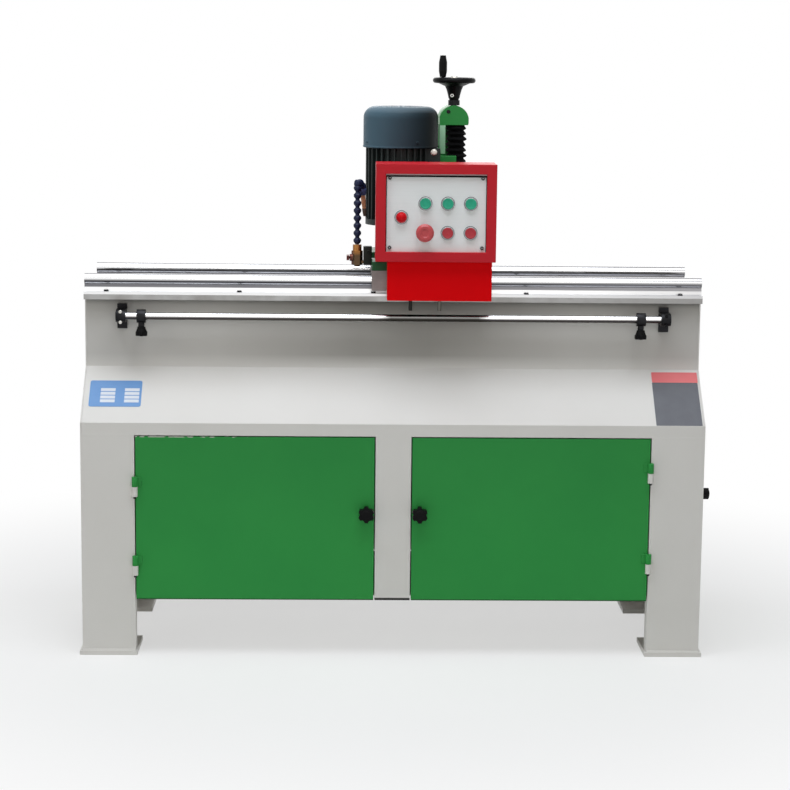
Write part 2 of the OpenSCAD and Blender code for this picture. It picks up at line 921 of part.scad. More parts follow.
module drive_gearmotor() {
    half = gearbox_w / 2;
    top = carriage_z + gearbox_h;
    color("#4A565C") difference() {
        union() {
            block([pinion_x - half, pinion_y - half, carriage_z], [pinion_x + half, pinion_y + half, top]);
            translate([pinion_x, pinion_y, top]) finned(drive_r - drive_fin, drive_r, 24, drive_h);
        }
        bar_along_z(pinion_x, pinion_y, carriage_z - over, carriage_z + socket_l, pinion_shaft_r + fit);
    }
}

// Involute pinion on its shaft
function degrees(x) = x * 180 / PI;
function involute(t) = degrees(t) - atan(t);
function tooth_half(r) = let (base = pinion_r * cos(pressure))
    90 / pinion_teeth - degrees(backlash / pinion_r) + involute(tan(pressure))
    - involute(sqrt(max(pow(r / base, 2) - 1, 0)));

module drive_pinion() {
    base = pinion_r * cos(pressure);
    tip = pinion_r + gear_m;
    root = pinion_r - dedendum;
    steps = 4;
    top = pinion_z + pinion_h;
    radii = [for (i = [0:steps]) base + (tip - base) * i / steps];
    flank = concat([[root, tooth_half(base)]], [for (r = radii) [r, tooth_half(r)]]);
    outline = [for (k = [0:pinion_teeth - 1]) let (mid = -90 + k * 360 / pinion_teeth)
        each concat([for (p = flank) p[0] * [cos(mid - p[1]), sin(mid - p[1])]],
            [for (i = [len(flank) - 1:-1:0]) flank[i][0] * [cos(mid + flank[i][1]), sin(mid + flank[i][1])]])];
    color("#6E6F70") translate([pinion_x, pinion_y, 0]) {
        translate([0, 0, pinion_z]) linear_extrude(pinion_h) polygon(outline);
        translate([0, 0, top]) cylinder(h = pinion_hub_h, r = pinion_hub_r);
        translate([0, 0, top]) cylinder(h = carriage_z + socket_l - socket_end - top, r = pinion_shaft_r);
    }
}

// Control box
module control_box() {
    s = box_sheet;
    color("#B8202A") {
        difference() {
            block([box_x0, box_y, box_z], [box_x1, box_y + box_d, box_top]);
            block([box_x0 + s, box_y + s, box_z + s], [box_x1 - s, box_y + box_d - s, box_top - s]);
            panel_frame(box_y - over, box_y + 2 * s, 0);
        }
        difference() {
            panel_frame(box_y, panel_y, s);
            panel_frame(box_y - over, panel_y + over, 0);
        }
    }
}

// The panel opening as a block, grown on its four sides
module panel_frame(y0, y1, grow) {
    block([panel_mid[0] - panel_w / 2 - grow, y0, panel_mid[1] - panel_h / 2 - grow],
        [panel_mid[0] + panel_w / 2 + grow, y1, panel_mid[1] + panel_h / 2 + grow]);
}

// Places its children on the panel, with +Z pointing out of the panel towards the operator
module on_panel(at) {
    translate([panel_mid[0] + at[0], panel_y, panel_mid[1] + at[1]]) rotate([90, 0, 0]) children();
}

module control_panel() {
    color("#CFD4D3") difference() {
        panel_frame(panel_y, panel_y + panel_t, box_sheet);
        for (at = control_at)
            on_panel(at) translate([0, 0, -panel_t - over]) cylinder(h = panel_t + 2 * over, r = neck_hole_r);
    }
    color("#1B1B1D") for (x = [-1, 1], z = [-1, 1])
        on_panel([x * (panel_w / 2 - panel_screw_in), z * (panel_h / 2 - panel_screw_in)])
            cylinder(h = panel_screw_h, r = panel_screw_r);
}

// Bezel rings in front of the panel, with the threaded necks and contact blocks behind it
module button_bezels() {
    bore_l = neck_l + contact_bore;
    color("#C4C7C8") for (at = control_at) on_panel(at) difference() {
        union() {
            cylinder(h = bezel_t, r = bezel_r);
            translate([0, 0, -neck_l]) cylinder(h = neck_l, r = neck_hole_r - fit);
            translate([-contact[0] / 2, -contact[1] / 2, -neck_l - contact[2]]) cube(contact);
        }
        translate([0, 0, -bore_l]) cylinder(h = bore_l + bezel_floor, r = stem_r + fit);
        translate([0, 0, bezel_floor]) cylinder(h = bezel_t, r = button_d / 2 + bezel_gap);
    }
}

module signal_lamp() {
    dome_r = button_d / 2;
    color("#C8202A") on_panel(lamp_at) {
        translate([0, 0, -stem_l]) cylinder(h = stem_l + bezel_floor, r = stem_r);
        translate([0, 0, bezel_floor]) cylinder(h = bezel_t - bezel_floor, r = dome_r);
        translate([0, 0, bezel_t]) intersection() {
            sphere(r = dome_r);
            cylinder(h = dome_r, r = dome_r + over);
        }
    }
}

module push_button(at) {
    on_panel(at) {
        translate([0, 0, button_lift - button_head]) cylinder(h = button_head, r = button_d / 2);
        translate([0, 0, -stem_l]) cylinder(h = stem_l + button_lift - button_head / 2, r = stem_r);
    }
}

module green_button_1() {
    color("#1F8F6B") push_button(green_at[0]);
}

module green_button_2() {
    color("#1F8F6B") push_button(green_at[1]);
}

module green_button_3() {
    color("#1F8F6B") push_button(green_at[2]);
}

module red_button_1() {
    color("#C0303A") push_button(red_at[0]);
}

module red_button_2() {
    color("#C0303A") push_button(red_at[1]);
}

module estop_plunger() {
    color("#C4C7C8") on_panel(estop_at) {
        translate([0, 0, -stem_l]) cylinder(h = stem_l + estop_lift, r = stem_r);
        translate([0, 0, estop_lift]) cylinder(h = estop_pin_h, r = estop_pin_r);
    }
}

module estop_head() {
    r = estop_d / 2;
    color("#C0303A") on_panel(estop_at) translate([0, 0, estop_lift + gap]) difference() {
        rotate_extrude() polygon([[0, 0], [12, 0], [r, 5], [r, 10], [r - 3, estop_h - 2], [r - 5, estop_h],
            [estop_dish_r, estop_h], [estop_dish_r - 2, estop_h - 1.5], [0, estop_h - 1.5]]);
        translate([0, 0, -over]) cylinder(h = estop_pin_h + 2 * over, r = estop_pin_r + fit);
    }
}

// Apron under the control box, folded back to the carriage plate, and the stop sensors behind it
module apron() {
    s = box_sheet;
    color("#B30A10") difference() {
        block([apron_x0, apron_y, apron_z], [apron_x1, carriage_y0, box_z]);
        block([apron_x0 + s, apron_y + s, apron_z - over], [apron_x1 - s, carriage_y0 + over, box_z + over]);
    }
}

module stop_sensors() {
    plate_z = apron_z + 8;
    plate_t = 3;
    side = 16;
    back = 12;
    nut_h = 4;
    nut_r = 7.5;
    body_h = 30;
    hole_gap = 0.2;
    color("#2A2B2D") {
        difference() {
            block([sensor_x[0] - side, apron_y + box_sheet, plate_z],
                [sensor_x[1] + side, sensor_y + back, plate_z + plate_t]);
            for (x = sensor_x)
                bar_along_z(x, sensor_y, plate_z - over, plate_z + plate_t + over, sensor_r + hole_gap);
        }
        for (x = sensor_x) {
            bar_along_z(x, sensor_y, sensor_z, plate_z + body_h, sensor_r);
            for (z = [plate_z - nut_h, plate_z + plate_t])
                translate([x, sensor_y, z]) cylinder(h = nut_h, r = nut_r, $fn = 6);
        }
    }
}

// Coolant valve on its bracket, the segmented hose and its nozzle
module coolant_valve() {
    bracket_w = 24;
    bracket_h = 6;
    inlet_r = 7;
    inlet_l = 4;
    outlet_r = 10;
    boss_r = 8;
    boss_l = 17;
    color("#B98A3A") difference() {
        union() {
            block([valve_x + valve_r - 3, valve_y - bracket_w / 2, valve_z + 4],
                [carriage_x0, valve_y + bracket_w / 2, valve_z + 4 + bracket_h]);
            translate([valve_x, valve_y, valve_z]) cylinder(h = valve_h, r = valve_r, $fn = 6);
            bar_along_z(valve_x, valve_y, valve_z - inlet_l, valve_z, inlet_r);
            bar_along_z(valve_x, valve_y, valve_z + valve_h, hose_z - gap, outlet_r);
            bar_along_x(valve_x - boss_l, valve_x, valve_y, lever_z, boss_r);
        }
        bar_along_x(valve_x - boss_l - over, valve_x - lever_seat, valve_y, lever_z, lever_pin_r + fit);
    }
}

module valve_lever() {
    wing = 16;
    wing_t = 6;
    wing_h = 10;
    scoop_r = 6;
    scoop_at = 19;
    color("#5A1F1C") {
        bar_along_x(lever_x, valve_x - lever_seat - over, valve_y, lever_z, lever_pin_r);
        difference() {
            block([lever_x, valve_y - wing, lever_z - wing_h / 2],
                [lever_x + wing_t, valve_y + wing, lever_z + wing_h / 2]);
            for (s = [-1, 1])
                bar_along_x(lever_x - over, lever_x + wing_t + over, valve_y + s * scoop_at, lever_z, scoop_r);
        }
    }
}

// Half outline of hose segments that stand on each other
module bead_outline(count) {
    run = (count - 1) * bead_pitch;
    intersection() {
        union() {
            for (i = [0:count - 1]) translate([0, i * bead_pitch]) circle(r = bead_r);
            translate([0, -bead_r]) square([bead_neck_r, run + bead_d]);
        }
        translate([hose_bore_r, -bead_r]) square([bead_d, run + bead_d + bead_pitch]);
    }
}

module over_the_bend(turn) {
    translate([valve_x, valve_y, bead_top]) rotate([0, 0, bend_turn]) translate([bend_r, 0, 0])
        rotate([0, turn, 0]) translate([-bend_r, 0, 0]) children();
}

// The space ahead of a bead's joint face in the bend, or behind it
module beyond_joint(way) {
    reach = 4 * bend_r;
    translate([bend_r, 0, 0]) rotate([0, way * (bend_step / 2 - 0.5), 0])
        translate([-reach, -reach / 2, way > 0 ? 0 : -reach]) cube([2 * reach, reach, reach]);
}

module coolant_hose() {
    reach = 4 * bead_d;
    color("#1E2340") {
        difference() {
            translate([valve_x, valve_y, hose_z + bead_r]) rotate_extrude() bead_outline(bead_n);
            over_the_bend(0) beyond_joint(1);
        }
        for (i = [1:bend_beads]) over_the_bend(i * bend_step) difference() {
            sphere(r = bead_r);
            beyond_joint(-1);
            if (i < bend_beads) beyond_joint(1);
            else translate([-bead_r, -bead_r, nozzle_seat]) cube(bead_d);
            translate([0, 0, -reach / 2]) cylinder(h = reach, r = hose_bore_r);
        }
    }
}

module hose_nozzle() {
    color("#C07A3A") over_the_bend(bend_beads * bend_step) translate([0, 0, nozzle_seat]) difference() {
        cylinder(h = nozzle_l, r1 = nozzle_r[0], r2 = nozzle_r[1]);
        translate([0, 0, -over]) cylinder(h = nozzle_l + 2 * over, r = nozzle_r[1] - nozzle_wall);
    }
}

// Grinding head
module head_slide() {
    x0 = column_x - column_w / 2;
    x1 = column_x + column_w / 2;
    root = dovetail_w / 2 - dovetail_in + gap;
    wide = dovetail_w / 2 + gap;
    back = column_y - gap;
    front = column_y - dovetail_d - gap;
    arm_left = 35;
    arm_right = 5;
    arm_x = [column_x - arm_left, column_x + arm_right];
    arm_t = 18;
    step = 2;
    web_y = 20;
    ring_r = 40;
    seat_r = fin_r + 4;
    color("#2F8A3C") difference() {
        union() {
            block([x0, slide_y, bracket_z], [x1, back, slide_top]);
            block([arm_x[0], slide_y - step - arm_t, bracket_z], [arm_x[1], slide_y - step, arm_top]);
            block([arm_x[0], slide_y - step, bracket_z], [arm_x[1], slide_y, slide_top]);
            block([head_x, web_y, bracket_z], [x1, slide_y + web_y, motor_z]);
            intersection() {
                bar_along_z(head_x, 0, bracket_z, motor_z, seat_r);
                block([head_x - wheel_d / 2, -motor_r, bracket_z], [head_x + motor_r, motor_r, motor_z]);
            }
        }
        bar_along_z(column_x, screw_y, bracket_z - over, slide_top + over, screw_r + fit);
        bar_along_z(head_x, 0, bracket_z - over, motor_z + over, ring_r);
        translate([dovetail_x, 0, bracket_z - over]) linear_extrude(slide_top - bracket_z + 2 * over)
            polygon([[-root, back + over], [-root, back], [-wide, front], [wide, front], [root, back],
                [root, back + over]]);
    }
}

module motor_housing() {
    shield = 13;
    spigot = 8;
    terminal_w = 80;
    terminal_h = 80;
    terminal_z = motor_z + 50;
    terminal_out = 34;
    terminal_in = 4;
    lug_y = [-46, -12];
    lug_out = 90;
    lug_h = 58;
    lug_drop = 1;
    fins = 32;
    color("#22302E") translate([head_x, 0, 0]) difference() {
        union() {
            bar_along_z(0, 0, motor_z, motor_z + shield, fin_r);
            translate([0, 0, motor_z + shield]) finned(motor_core_r, fin_r, fins, cover_z - motor_z - shield);
            bar_along_z(0, 0, cover_z, cover_z + spigot, motor_r - cover_t);
            block([-terminal_w / 2, motor_core_r - terminal_in, terminal_z],
                [terminal_w / 2, motor_r + terminal_out, terminal_z + terminal_h]);
            block([motor_core_r / 2, lug_y[0], cover_z - lug_drop - lug_h],
                [lug_out, lug_y[1], cover_z - lug_drop]);
        }
        bar_along_z(0, 0, motor_z - over, cover_z + spigot + over, spindle_r + fit);
    }
}

// Pressed sheet cover with a rounded crown and a ring of air slots
module cover_outline(inset) {
    r = motor_r - inset;
    round_r = cover_round - inset;
    h = motor_z + motor_h - cover_z - inset;
    square([r, h - round_r]);
    square([r - round_r, h]);
    translate([r - round_r, h - round_r]) intersection() {
        circle(r = round_r);
        square(round_r);
    }
}

module fan_cover() {
    slots = 16;
    slot_w = 5;
    slot_in = 20;
    slot_land = 4;
    top = motor_z + motor_h - cover_z;
    color("#3E4F5A") translate([head_x, 0, cover_z]) difference() {
        rotate_extrude() difference() {
            cover_outline(0);
            cover_outline(cover_t);
        }
        for (i = [0:slots - 1]) rotate([0, 0, i * 360 / slots])
            block([slot_in, -slot_w / 2, top - 2 * cover_t],
                [motor_r - cover_round - slot_land, slot_w / 2, top + over]);
    }
}

module motor_spindle() {
    web_z = wheel_z + wheel_h - wheel_web;
    fan_z = cover_z + 16;
    fan_r = 62;
    fan_disc = 4;
    blades = 7;
    blade_t = 3;
    blade_h = 28;
    flange_r = 26;
    flange_h = 8;
    washer_r = 24;
    nut_r = 19;
    nut_h = 10;
    thread_l = 11;
    nut_z = web_z - clamp_t - nut_h;
    color("#B4B7B9") translate([head_x, 0, 0]) {
        bar_along_z(0, 0, nut_z - thread_l, fan_z + blade_h + 2, spindle_r);
        bar_along_z(0, 0, wheel_z + wheel_h, wheel_z + wheel_h + flange_h, flange_r);
        bar_along_z(0, 0, web_z - clamp_t, web_z, washer_r);
        translate([0, 0, nut_z]) cylinder(h = nut_h, r = nut_r, $fn = 6);
        bar_along_z(0, 0, fan_z, fan_z + fan_disc, fan_r);
        for (i = [0:blades - 1]) rotate([0, 0, i * 360 / blades])
            block([spindle_r - 1, -blade_t / 2, fan_z + 1], [fan_r - 2, blade_t / 2, fan_z + blade_h]);
    }
}

module cup_wheel() {
    r = wheel_d / 2;
    web = wheel_h - wheel_web;
    taper = 4;
    chamfer = 6;
    color("#8A8F96") translate([head_x, 0, wheel_z]) rotate_extrude()
        polygon([[spindle_r + fit, web], [r - wheel_wall - taper, web], [r - wheel_wall, 0], [r, 0],
            [r, wheel_h - chamfer], [r - chamfer, wheel_h], [spindle_r + fit, wheel_h]]);
}

// Rubber bellows round the feed screw
module bellows() {
    len = column_top - slide_top;
    pitch = len / bellows_n;
    ridge = bellows_d / 2;
    valley = ridge - pleat_d;
    wall = bellows_wall;
    outside = [for (i = [0:bellows_n - 1]) each [[valley, i * pitch], [ridge, (i + 0.5) * pitch]]];
    inside = [for (i = [bellows_n - 1:-1:0])
        each [[ridge - wall, (i + 0.5) * pitch], [valley - wall, i * pitch]]];
    color("#141416") translate([bellows_x, screw_y, slide_top]) rotate_extrude()
        polygon(concat(outside, [[valley, len], [valley - wall, len]], inside));
}

module lead_screw() {
    color("#A7AAAC") {
        bar_along_z(column_x, screw_y, carriage_z + screw_foot, column_top - gap, screw_r);
        bar_along_z(column_x, screw_y, column_top - gap, rim_z - 2, neck_r);
        bar_along_z(column_x, screw_y, cap_top + gap, hub_z, collar_r);
    }
}

// Dished handwheel with the pin of its revolving grip
module handwheel() {
    rim_at = handwheel_d / 2 - rim_r;
    dish = rim_z - hub_z;
    hub_r = [11, 16];
    face_r = [14, 12];
    web_t = 7;
    web_z = dish - 4;
    web_rise = 12;
    top = dish + 4;
    bore_r = neck_r + fit;
    boss_r = 8;
    boss_h = 13;
    boss_z = dish + rim_r + grip_lift / 2 - boss_h;
    color("#17181A") translate([column_x, screw_y, hub_z]) {
        rotate_extrude() {
            polygon([[bore_r, 0], [hub_r[0], 0], [hub_r[1], web_z - web_rise], [rim_at, web_z],
                [rim_at, web_z + web_t], [face_r[0], web_z], [face_r[1], top], [bore_r, top]]);
            translate([rim_at, dish]) circle(r = rim_r);
        }
        translate([grip_at[0], grip_at[1], boss_z]) cylinder(h = boss_h, r = boss_r);
        translate([grip_at[0], grip_at[1], dish]) cylinder(h = grip_h, r = grip_pin_r);
    }
}

module wheel_grip() {
    neck = 7;
    swell = [14, 34];
    end_r = grip_r - 3;
    end_t = 4;
    bore_r = grip_pin_r + fit;
    color("#17181A") translate([column_x + grip_at[0], screw_y + grip_at[1], grip_z]) rotate_extrude()
        polygon([[bore_r, gap], [neck, gap], [grip_r, swell[0]], [grip_r, swell[1]], [end_r, grip_h],
            [0, grip_h], [0, grip_h - end_t], [bore_r, grip_h - end_t]]);
}

// Knife bar: drawn flat about its trunnions, then tilted; +Y runs up to the knife edge side
module tilted() {
    translate([0, bar_y, bar_z]) rotate([180 - bar_tilt, 0, 0]) mirror([0, 0, 1]) children();
}

module knife_bar() {
    ends = [bar_x[0] - bar_end_gap - bar_bracket_t, bar_x[1] + bar_end_gap + bar_bracket_t];
    hole_gap = 0.2;
    color("#8B9094") {
        tilted() difference() {
            block([bar_x[0], -bar_w / 2, -bar_back], [bar_x[1], bar_w / 2, bar_face]);
            for (x = bar_screw_x())
                bar_along_z(x, strip_screw_y, 0, bar_face + over, strip_screw_r + hole_gap);
        }
        bar_along_x(ends[0], bar_x[0] + over, bar_y, bar_z, trunnion_r);
        bar_along_x(ends[0] - lock_w - stub_out, bar_x[0], bar_y, bar_z, stub_r);
        bar_along_x(bar_x[1] - over, ends[1] + over, bar_y, bar_z, trunnion_r);
    }
}

function bar_screw_x() = [for (i = [0:strip_screws - 1])
    bar_x[0] + (i + 0.5) * (bar_x[1] - bar_x[0]) / strip_screws];

module clamp_strip() {
    low = bar_face + strip_gap;
    x = [bar_x[0] + strip_in, bar_x[1] - strip_in];
    head_h = 5;
    head_r = 6.5;
    color("#5E6367") tilted() {
        block([x[0], strip_y[0], low], [x[1], strip_y[1], low + strip_t]);
        block([x[0], strip_y[0], bar_face], [x[1], strip_y[0] + strip_heel, low]);
        for (at = bar_screw_x()) {
            bar_along_z(at, strip_screw_y, 2, low, strip_screw_r);
            bar_along_z(at, strip_screw_y, low + strip_t, low + strip_t + head_h, head_r);
        }
    }
}

module tilt_lock() {
    x1 = bar_x[0] - bar_end_gap - bar_bracket_t - gap;
    x0 = x1 - lock_w;
    ring_r = 14;
    handle_r = 5;
    handle_l = 34;
    color("#1B1B1D") difference() {
        union() {
            bar_along_x(x0, x1, bar_y, bar_z, ring_r);
            bar_along_z((x0 + x1) / 2, bar_y, bar_z, bar_z + handle_l, handle_r);
        }
        bar_along_x(x0 - over, x1 + over, bar_y, bar_z, stub_r + fit);
    }
}

corner_posts();
front_frame();
rear_frame();
left_end_panel();
right_end_panel();
cabinet_floor();
coolant_trough();
bed_plates();
rail_supports();
rail_shafts();
gear_rack();
stop_rod();
rod_brackets();
coolant_tank();
coolant_pump();
carriage_plate();
pillow_blocks();
column();
column_cap();
control_box();
control_panel();
button_bezels();
signal_lamp();
apron();
stop_sensors();
drive_gearmotor();
coolant_valve();
head_slide();
motor_housing();
fan_cover();
bellows();
motor_spindle();
cup_wheel();
handwheel();
lead_screw();
wheel_grip();
drive_pinion();
left_door();
right_door();
side_door();
left_latch();
right_latch();
side_latch();
green_button_1();
green_button_2();
green_button_3();
red_button_1();
red_button_2();
estop_plunger();
estop_head();
left_dog();
right_dog();
left_dog_knob();
right_dog_knob();
valve_lever();
coolant_hose();
hose_nozzle();
knife_bar();
clamp_strip();
tilt_lock();
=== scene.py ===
import math
import random

import bmesh
import bpy
from mathutils import Matrix, Vector


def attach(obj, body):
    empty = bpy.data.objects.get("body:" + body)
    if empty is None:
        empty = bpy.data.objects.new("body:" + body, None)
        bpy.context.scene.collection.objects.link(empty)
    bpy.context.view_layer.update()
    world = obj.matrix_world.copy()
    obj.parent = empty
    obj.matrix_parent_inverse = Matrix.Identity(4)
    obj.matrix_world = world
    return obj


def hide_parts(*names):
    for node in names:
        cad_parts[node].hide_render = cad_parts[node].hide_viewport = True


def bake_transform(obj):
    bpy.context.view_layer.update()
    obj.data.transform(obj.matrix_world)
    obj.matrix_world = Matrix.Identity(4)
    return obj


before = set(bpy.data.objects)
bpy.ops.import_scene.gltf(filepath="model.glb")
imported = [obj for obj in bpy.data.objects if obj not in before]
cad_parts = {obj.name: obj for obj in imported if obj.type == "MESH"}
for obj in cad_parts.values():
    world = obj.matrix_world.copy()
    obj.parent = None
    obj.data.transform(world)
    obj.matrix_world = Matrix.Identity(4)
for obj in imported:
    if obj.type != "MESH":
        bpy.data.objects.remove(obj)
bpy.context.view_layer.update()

# Camera: stands 4.8 m in front of the machine at 1.37 m, looking 9 degrees down, as the photograph was taken.
# Its place, tilt and 20.7 degree field were worked out from the corners of the cabinet, doors and box.
picture_px = 790
focal_px = 2162
yaw, pitch, roll = math.radians(1.378), math.radians(9.164), math.radians(0.596)
ahead = Vector((math.sin(yaw) * math.cos(pitch), math.cos(yaw) * math.cos(pitch), -math.sin(pitch)))
level = Vector((math.cos(yaw), -math.sin(yaw), 0))
upright = level.cross(ahead)
right = level * math.cos(roll) + upright * math.sin(roll)
up = upright * math.cos(roll) - level * math.sin(roll)
stand = Matrix((right, up, -ahead)).transposed().to_4x4()
stand.translation = (-0.1126, -5.0114, 1.3683)
lens = bpy.data.cameras.new("photo_camera")
lens.sensor_width = 36
lens.lens = lens.sensor_width * focal_px / picture_px
camera = bpy.data.objects.new("photo_camera", lens)
camera.matrix_world = stand
bpy.context.scene.collection.objects.link(camera)
bpy.context.scene.camera = camera

# Cabinet shell: folded 3 mm mild steel sheet welded to four corner posts on foot plates, with the coolant
# trough let into its top. Sprayed with off-white enamel over primer and stoved.
MM = 0.001
# Blender's noise nearly always lies between these two values, so they count as its two ends.
NOISE_ENDS = {"From Min": 0.3, "From Max": 0.7}


def linear(code):
    """An sRGB hex colour as the linear colour that a shader socket takes."""
    parts = [int(code[i:i + 2], 16) / 255 for i in (1, 3, 5)]
    return [c / 12.92 if c <= 0.04045 else ((c + 0.055) / 1.055) ** 2.4 for c in parts] + [1.0]


def add(tree, kind, feeds=(), **settings):
    """Add a shader node with its settings; feeds gives its sockets a value, or a node or socket to link."""
    made = tree.nodes.new("ShaderNode" + kind)
    for name, value in settings.items():
        setattr(made, name, value)
    for key, value in dict(feeds).items():
        if isinstance(value, bpy.types.Node):
            value = value.outputs[0]
        if isinstance(value, bpy.types.NodeSocket):
            tree.links.new(value, made.inputs[key])
        else:
            made.inputs[key].default_value = value
    return made


def bare(name):
    """A new material with an empty node tree, and the object coordinates that its patterns lie in. They are
    in metres, so a pattern with the scale 1000 / n repeats about every n mm."""
    made = bpy.data.materials.new(name)
    made.use_nodes = True
    made.node_tree.nodes.clear()
    return made, made.node_tree, add(made.node_tree, "TexCoord").outputs["Object"]


def dress(finish, *names, ease=0.0):
    """Give CAD nodes their finish; ease rounds sharp edges by that many mm, as bending and deburring do."""
    for name in names:
        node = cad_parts[name]
        for slot in node.material_slots:
            slot.material = finish
        if ease:
            weld = node.modifiers.new("weld", "WELD")
            weld.merge_threshold = 0.01 * MM
            soft = node.modifiers.new("soft", "BEVEL")
            soft.width = ease * MM
            soft.segments = 2
            soft.angle_limit = math.radians(40)
            soft.harden_normals = True


def enamel(name, colour, drift, rough, shine, primer=None, edge=1.5):
    """Sprayed stoving enamel: the tone drifts over 250 mm, dust nibs dull it in 9 mm specks, the spray dries
    to 3 mm ripples and pools round edges of that many mm; with a primer colour, rubbed edges show it."""
    made, tree, place = bare(name)
    cloud = add(tree, "TexNoise", {"Vector": place, "Scale": 1000 / 250, "Detail": 5.0})
    tone = add(tree, "MixRGB", {"Fac": cloud, "Color1": linear(colour), "Color2": linear(drift)})
    specks = add(tree, "TexNoise", {"Vector": place, "Scale": 1000 / 9, "Detail": 6.0})
    dull = add(tree, "MapRange", {"Value": specks, **NOISE_ENDS, "To Min": rough - 0.07,
                                  "To Max": rough + 0.07})
    if edge:
        soft = add(tree, "Bevel", {"Radius": edge * MM}, samples=4)
    else:
        soft = add(tree, "NewGeometry").outputs["Normal"]
    if primer:
        facing = add(tree, "NewGeometry").outputs["Normal"]
        flat = add(tree, "VectorMath", {0: soft, 1: facing}, operation="DOT_PRODUCT").outputs["Value"]
        rub = add(tree, "MapRange", {"Value": flat, "From Min": 0.97, "From Max": 0.8})
        breaks = add(tree, "TexNoise", {"Vector": place, "Scale": 1000 / 14, "Detail": 8.0})
        gone = add(tree, "MapRange", {"Value": breaks, "From Min": 0.62, "From Max": 0.68})
        chip = add(tree, "Math", {0: rub, 1: gone}, operation="MULTIPLY")
        tone = add(tree, "MixRGB", {"Fac": chip, "Color1": tone, "Color2": linear(primer)})
    peel = add(tree, "TexNoise", {"Vector": place, "Scale": 1000 / 3, "Detail": 1.0})
    ripple = add(tree, "Bump", {"Height": peel, "Strength": 0.08, "Distance": 0.3 * MM, "Normal": soft})
    skin = add(tree, "BsdfPrincipled", {"Base Color": tone, "Roughness": dull, "Specular IOR Level": shine,
                                        "Normal": ripple})
    add(tree, "OutputMaterial", {"Surface": skin})
    return made


def along(finish, axis, start, end, low=0.0, high=1.0):
    """How far each point of a finish lies between two places in mm on an axis: a share from low to high."""
    tree = finish.node_tree
    spot = add(tree, "SeparateXYZ", {0: add(tree, "TexCoord").outputs["Object"]})
    return add(tree, "MapRange", {"Value": spot.outputs[axis], "From Min": start * MM, "From Max": end * MM,
                                  "To Min": low, "To Max": high})


def film_over(finish, share, colour):
    """Lay a film of another colour over a finish, as thick as the share says from place to place."""
    tree = finish.node_tree
    skin = tree.nodes["Principled BSDF"]
    under = skin.inputs["Base Color"].links[0].from_socket
    film = add(tree, "MixRGB", {"Fac": share, "Color1": under, "Color2": linear(colour)})
    tree.links.new(film.outputs[0], skin.inputs["Base Color"])


def slab(bm, low, high, ease):
    """Add a block between two corners in mm, with its edges eased."""
    made = bmesh.ops.create_cube(bm, size=1.0)["verts"]
    for v in made:
        v.co = Vector([(a + b) / 2 + c * (b - a) for a, b, c in zip(low, high, v.co)]) * MM
    edges = list(dict.fromkeys(e for v in made for e in v.link_edges))
    bmesh.ops.bevel(bm, geom=edges, offset=ease * MM, segments=2, profile=0.7, affect="EDGES")


def shaped(name, bm, finish, crease):
    """Make an object from its mesh, smooth up to the crease angle in degrees, in its finish."""
    bmesh.ops.recalc_face_normals(bm, faces=bm.faces)
    mesh = bpy.data.meshes.new(name)
    bm.to_mesh(mesh)
    bm.free()
    mesh.shade_smooth()
    mesh.set_sharp_from_angle(angle=math.radians(crease))
    mesh.materials.append(finish)
    made = bpy.data.objects.new(name, mesh)
    bpy.context.scene.collection.objects.link(made)
    return made


def piece(name, bm, body, finish, crease=35):
    """Make a piece that rides on its body, in its finish."""
    made = shaped(name, bm, finish, crease)
    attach(made, body)
    return made


off_white = enamel("sprayed_off_white_enamel", "#E9E7E2", "#DFDCD6", 0.38, 0.25, edge=0)
folded_white = enamel("folded_off_white_enamel", "#E9E7E2", "#DFDCD6", 0.38, 0.25, edge=2.5)
dress(off_white, "left_end_panel", "right_end_panel", "cabinet_floor", "coolant_trough", ease=0.8)
dress(off_white, "corner_posts")
dress(folded_white, "front_frame", "rear_frame")
# Painted shade on the waist: it is greyed all along, most of all in the middle, where the carriage shades it,
# and under the bed's overhang.
tree = folded_white.node_tree
middle = add(tree, "Math", {0: along(folded_white, "X", -400, -80, 0.28, 0.7),
                            1: along(folded_white, "X", 400, 80, 0.31, 0.7)}, operation="MINIMUM")
carriage_shade_on_waist = add(tree, "Math", {0: middle, 1: along(folded_white, "Z", 642, 672)}, operation="MULTIPLY")
shade_under_bed = along(folded_white, "Z", 765, 800, 0.0, 0.33)
painted_waist_shade = add(tree, "Math", {0: carriage_shade_on_waist, 1: shade_under_bed}, operation="ADD", use_clamp=True)
film_over(folded_white, painted_waist_shade, "#85827B")
# Painted shadow: a dark band right under the bed's edge.
film_over(folded_white, along(folded_white, "Z", 783, 803, 0.0, 0.5), "#3F3D39")
# Painted shade: the lower edge of the front frame's middle post is blackened.
post_foot_shade = add(tree, "Math", {0: along(folded_white, "Z", 134.9, 133.9, 0.0, 0.97),
                              1: along(folded_white, "Y", 0, -100)}, operation="MULTIPLY")
film_over(folded_white, post_foot_shade, "#161513")
# The joints of header and posts are filled and rubbed flush before spraying, so no seam shows there.
joints = bmesh.new()
for side in (-1, 1):
    for face in (-1, 1):
        wide = sorted((side * 580.2, side * 696.8))
        deep = sorted((face * 250.04, face * 247.5))
        slab(joints, (wide[0], deep[0], 501.5), (wide[1], deep[1], 508.5), 0.02)
piece("filled_joints", joints, "base", off_white)

# Foot welds: a fillet weld runs round each corner post where it meets its foot plate, laid by hand in short
# ripples and sprayed over with the cabinet's enamel.


def join_rings(bm, rings):
    """Skin rings of points one after another; a ring of a single point closes to a tip."""
    for low, high in zip(rings, rings[1:]):
        for k in range(max(len(low), len(high))):
            corners = [low[k % len(low)], low[(k + 1) % len(low)]]
            corners += [high[(k + 1) % len(high)], high[k % len(high)]]
            bm.faces.new(list(dict.fromkeys(corners)))


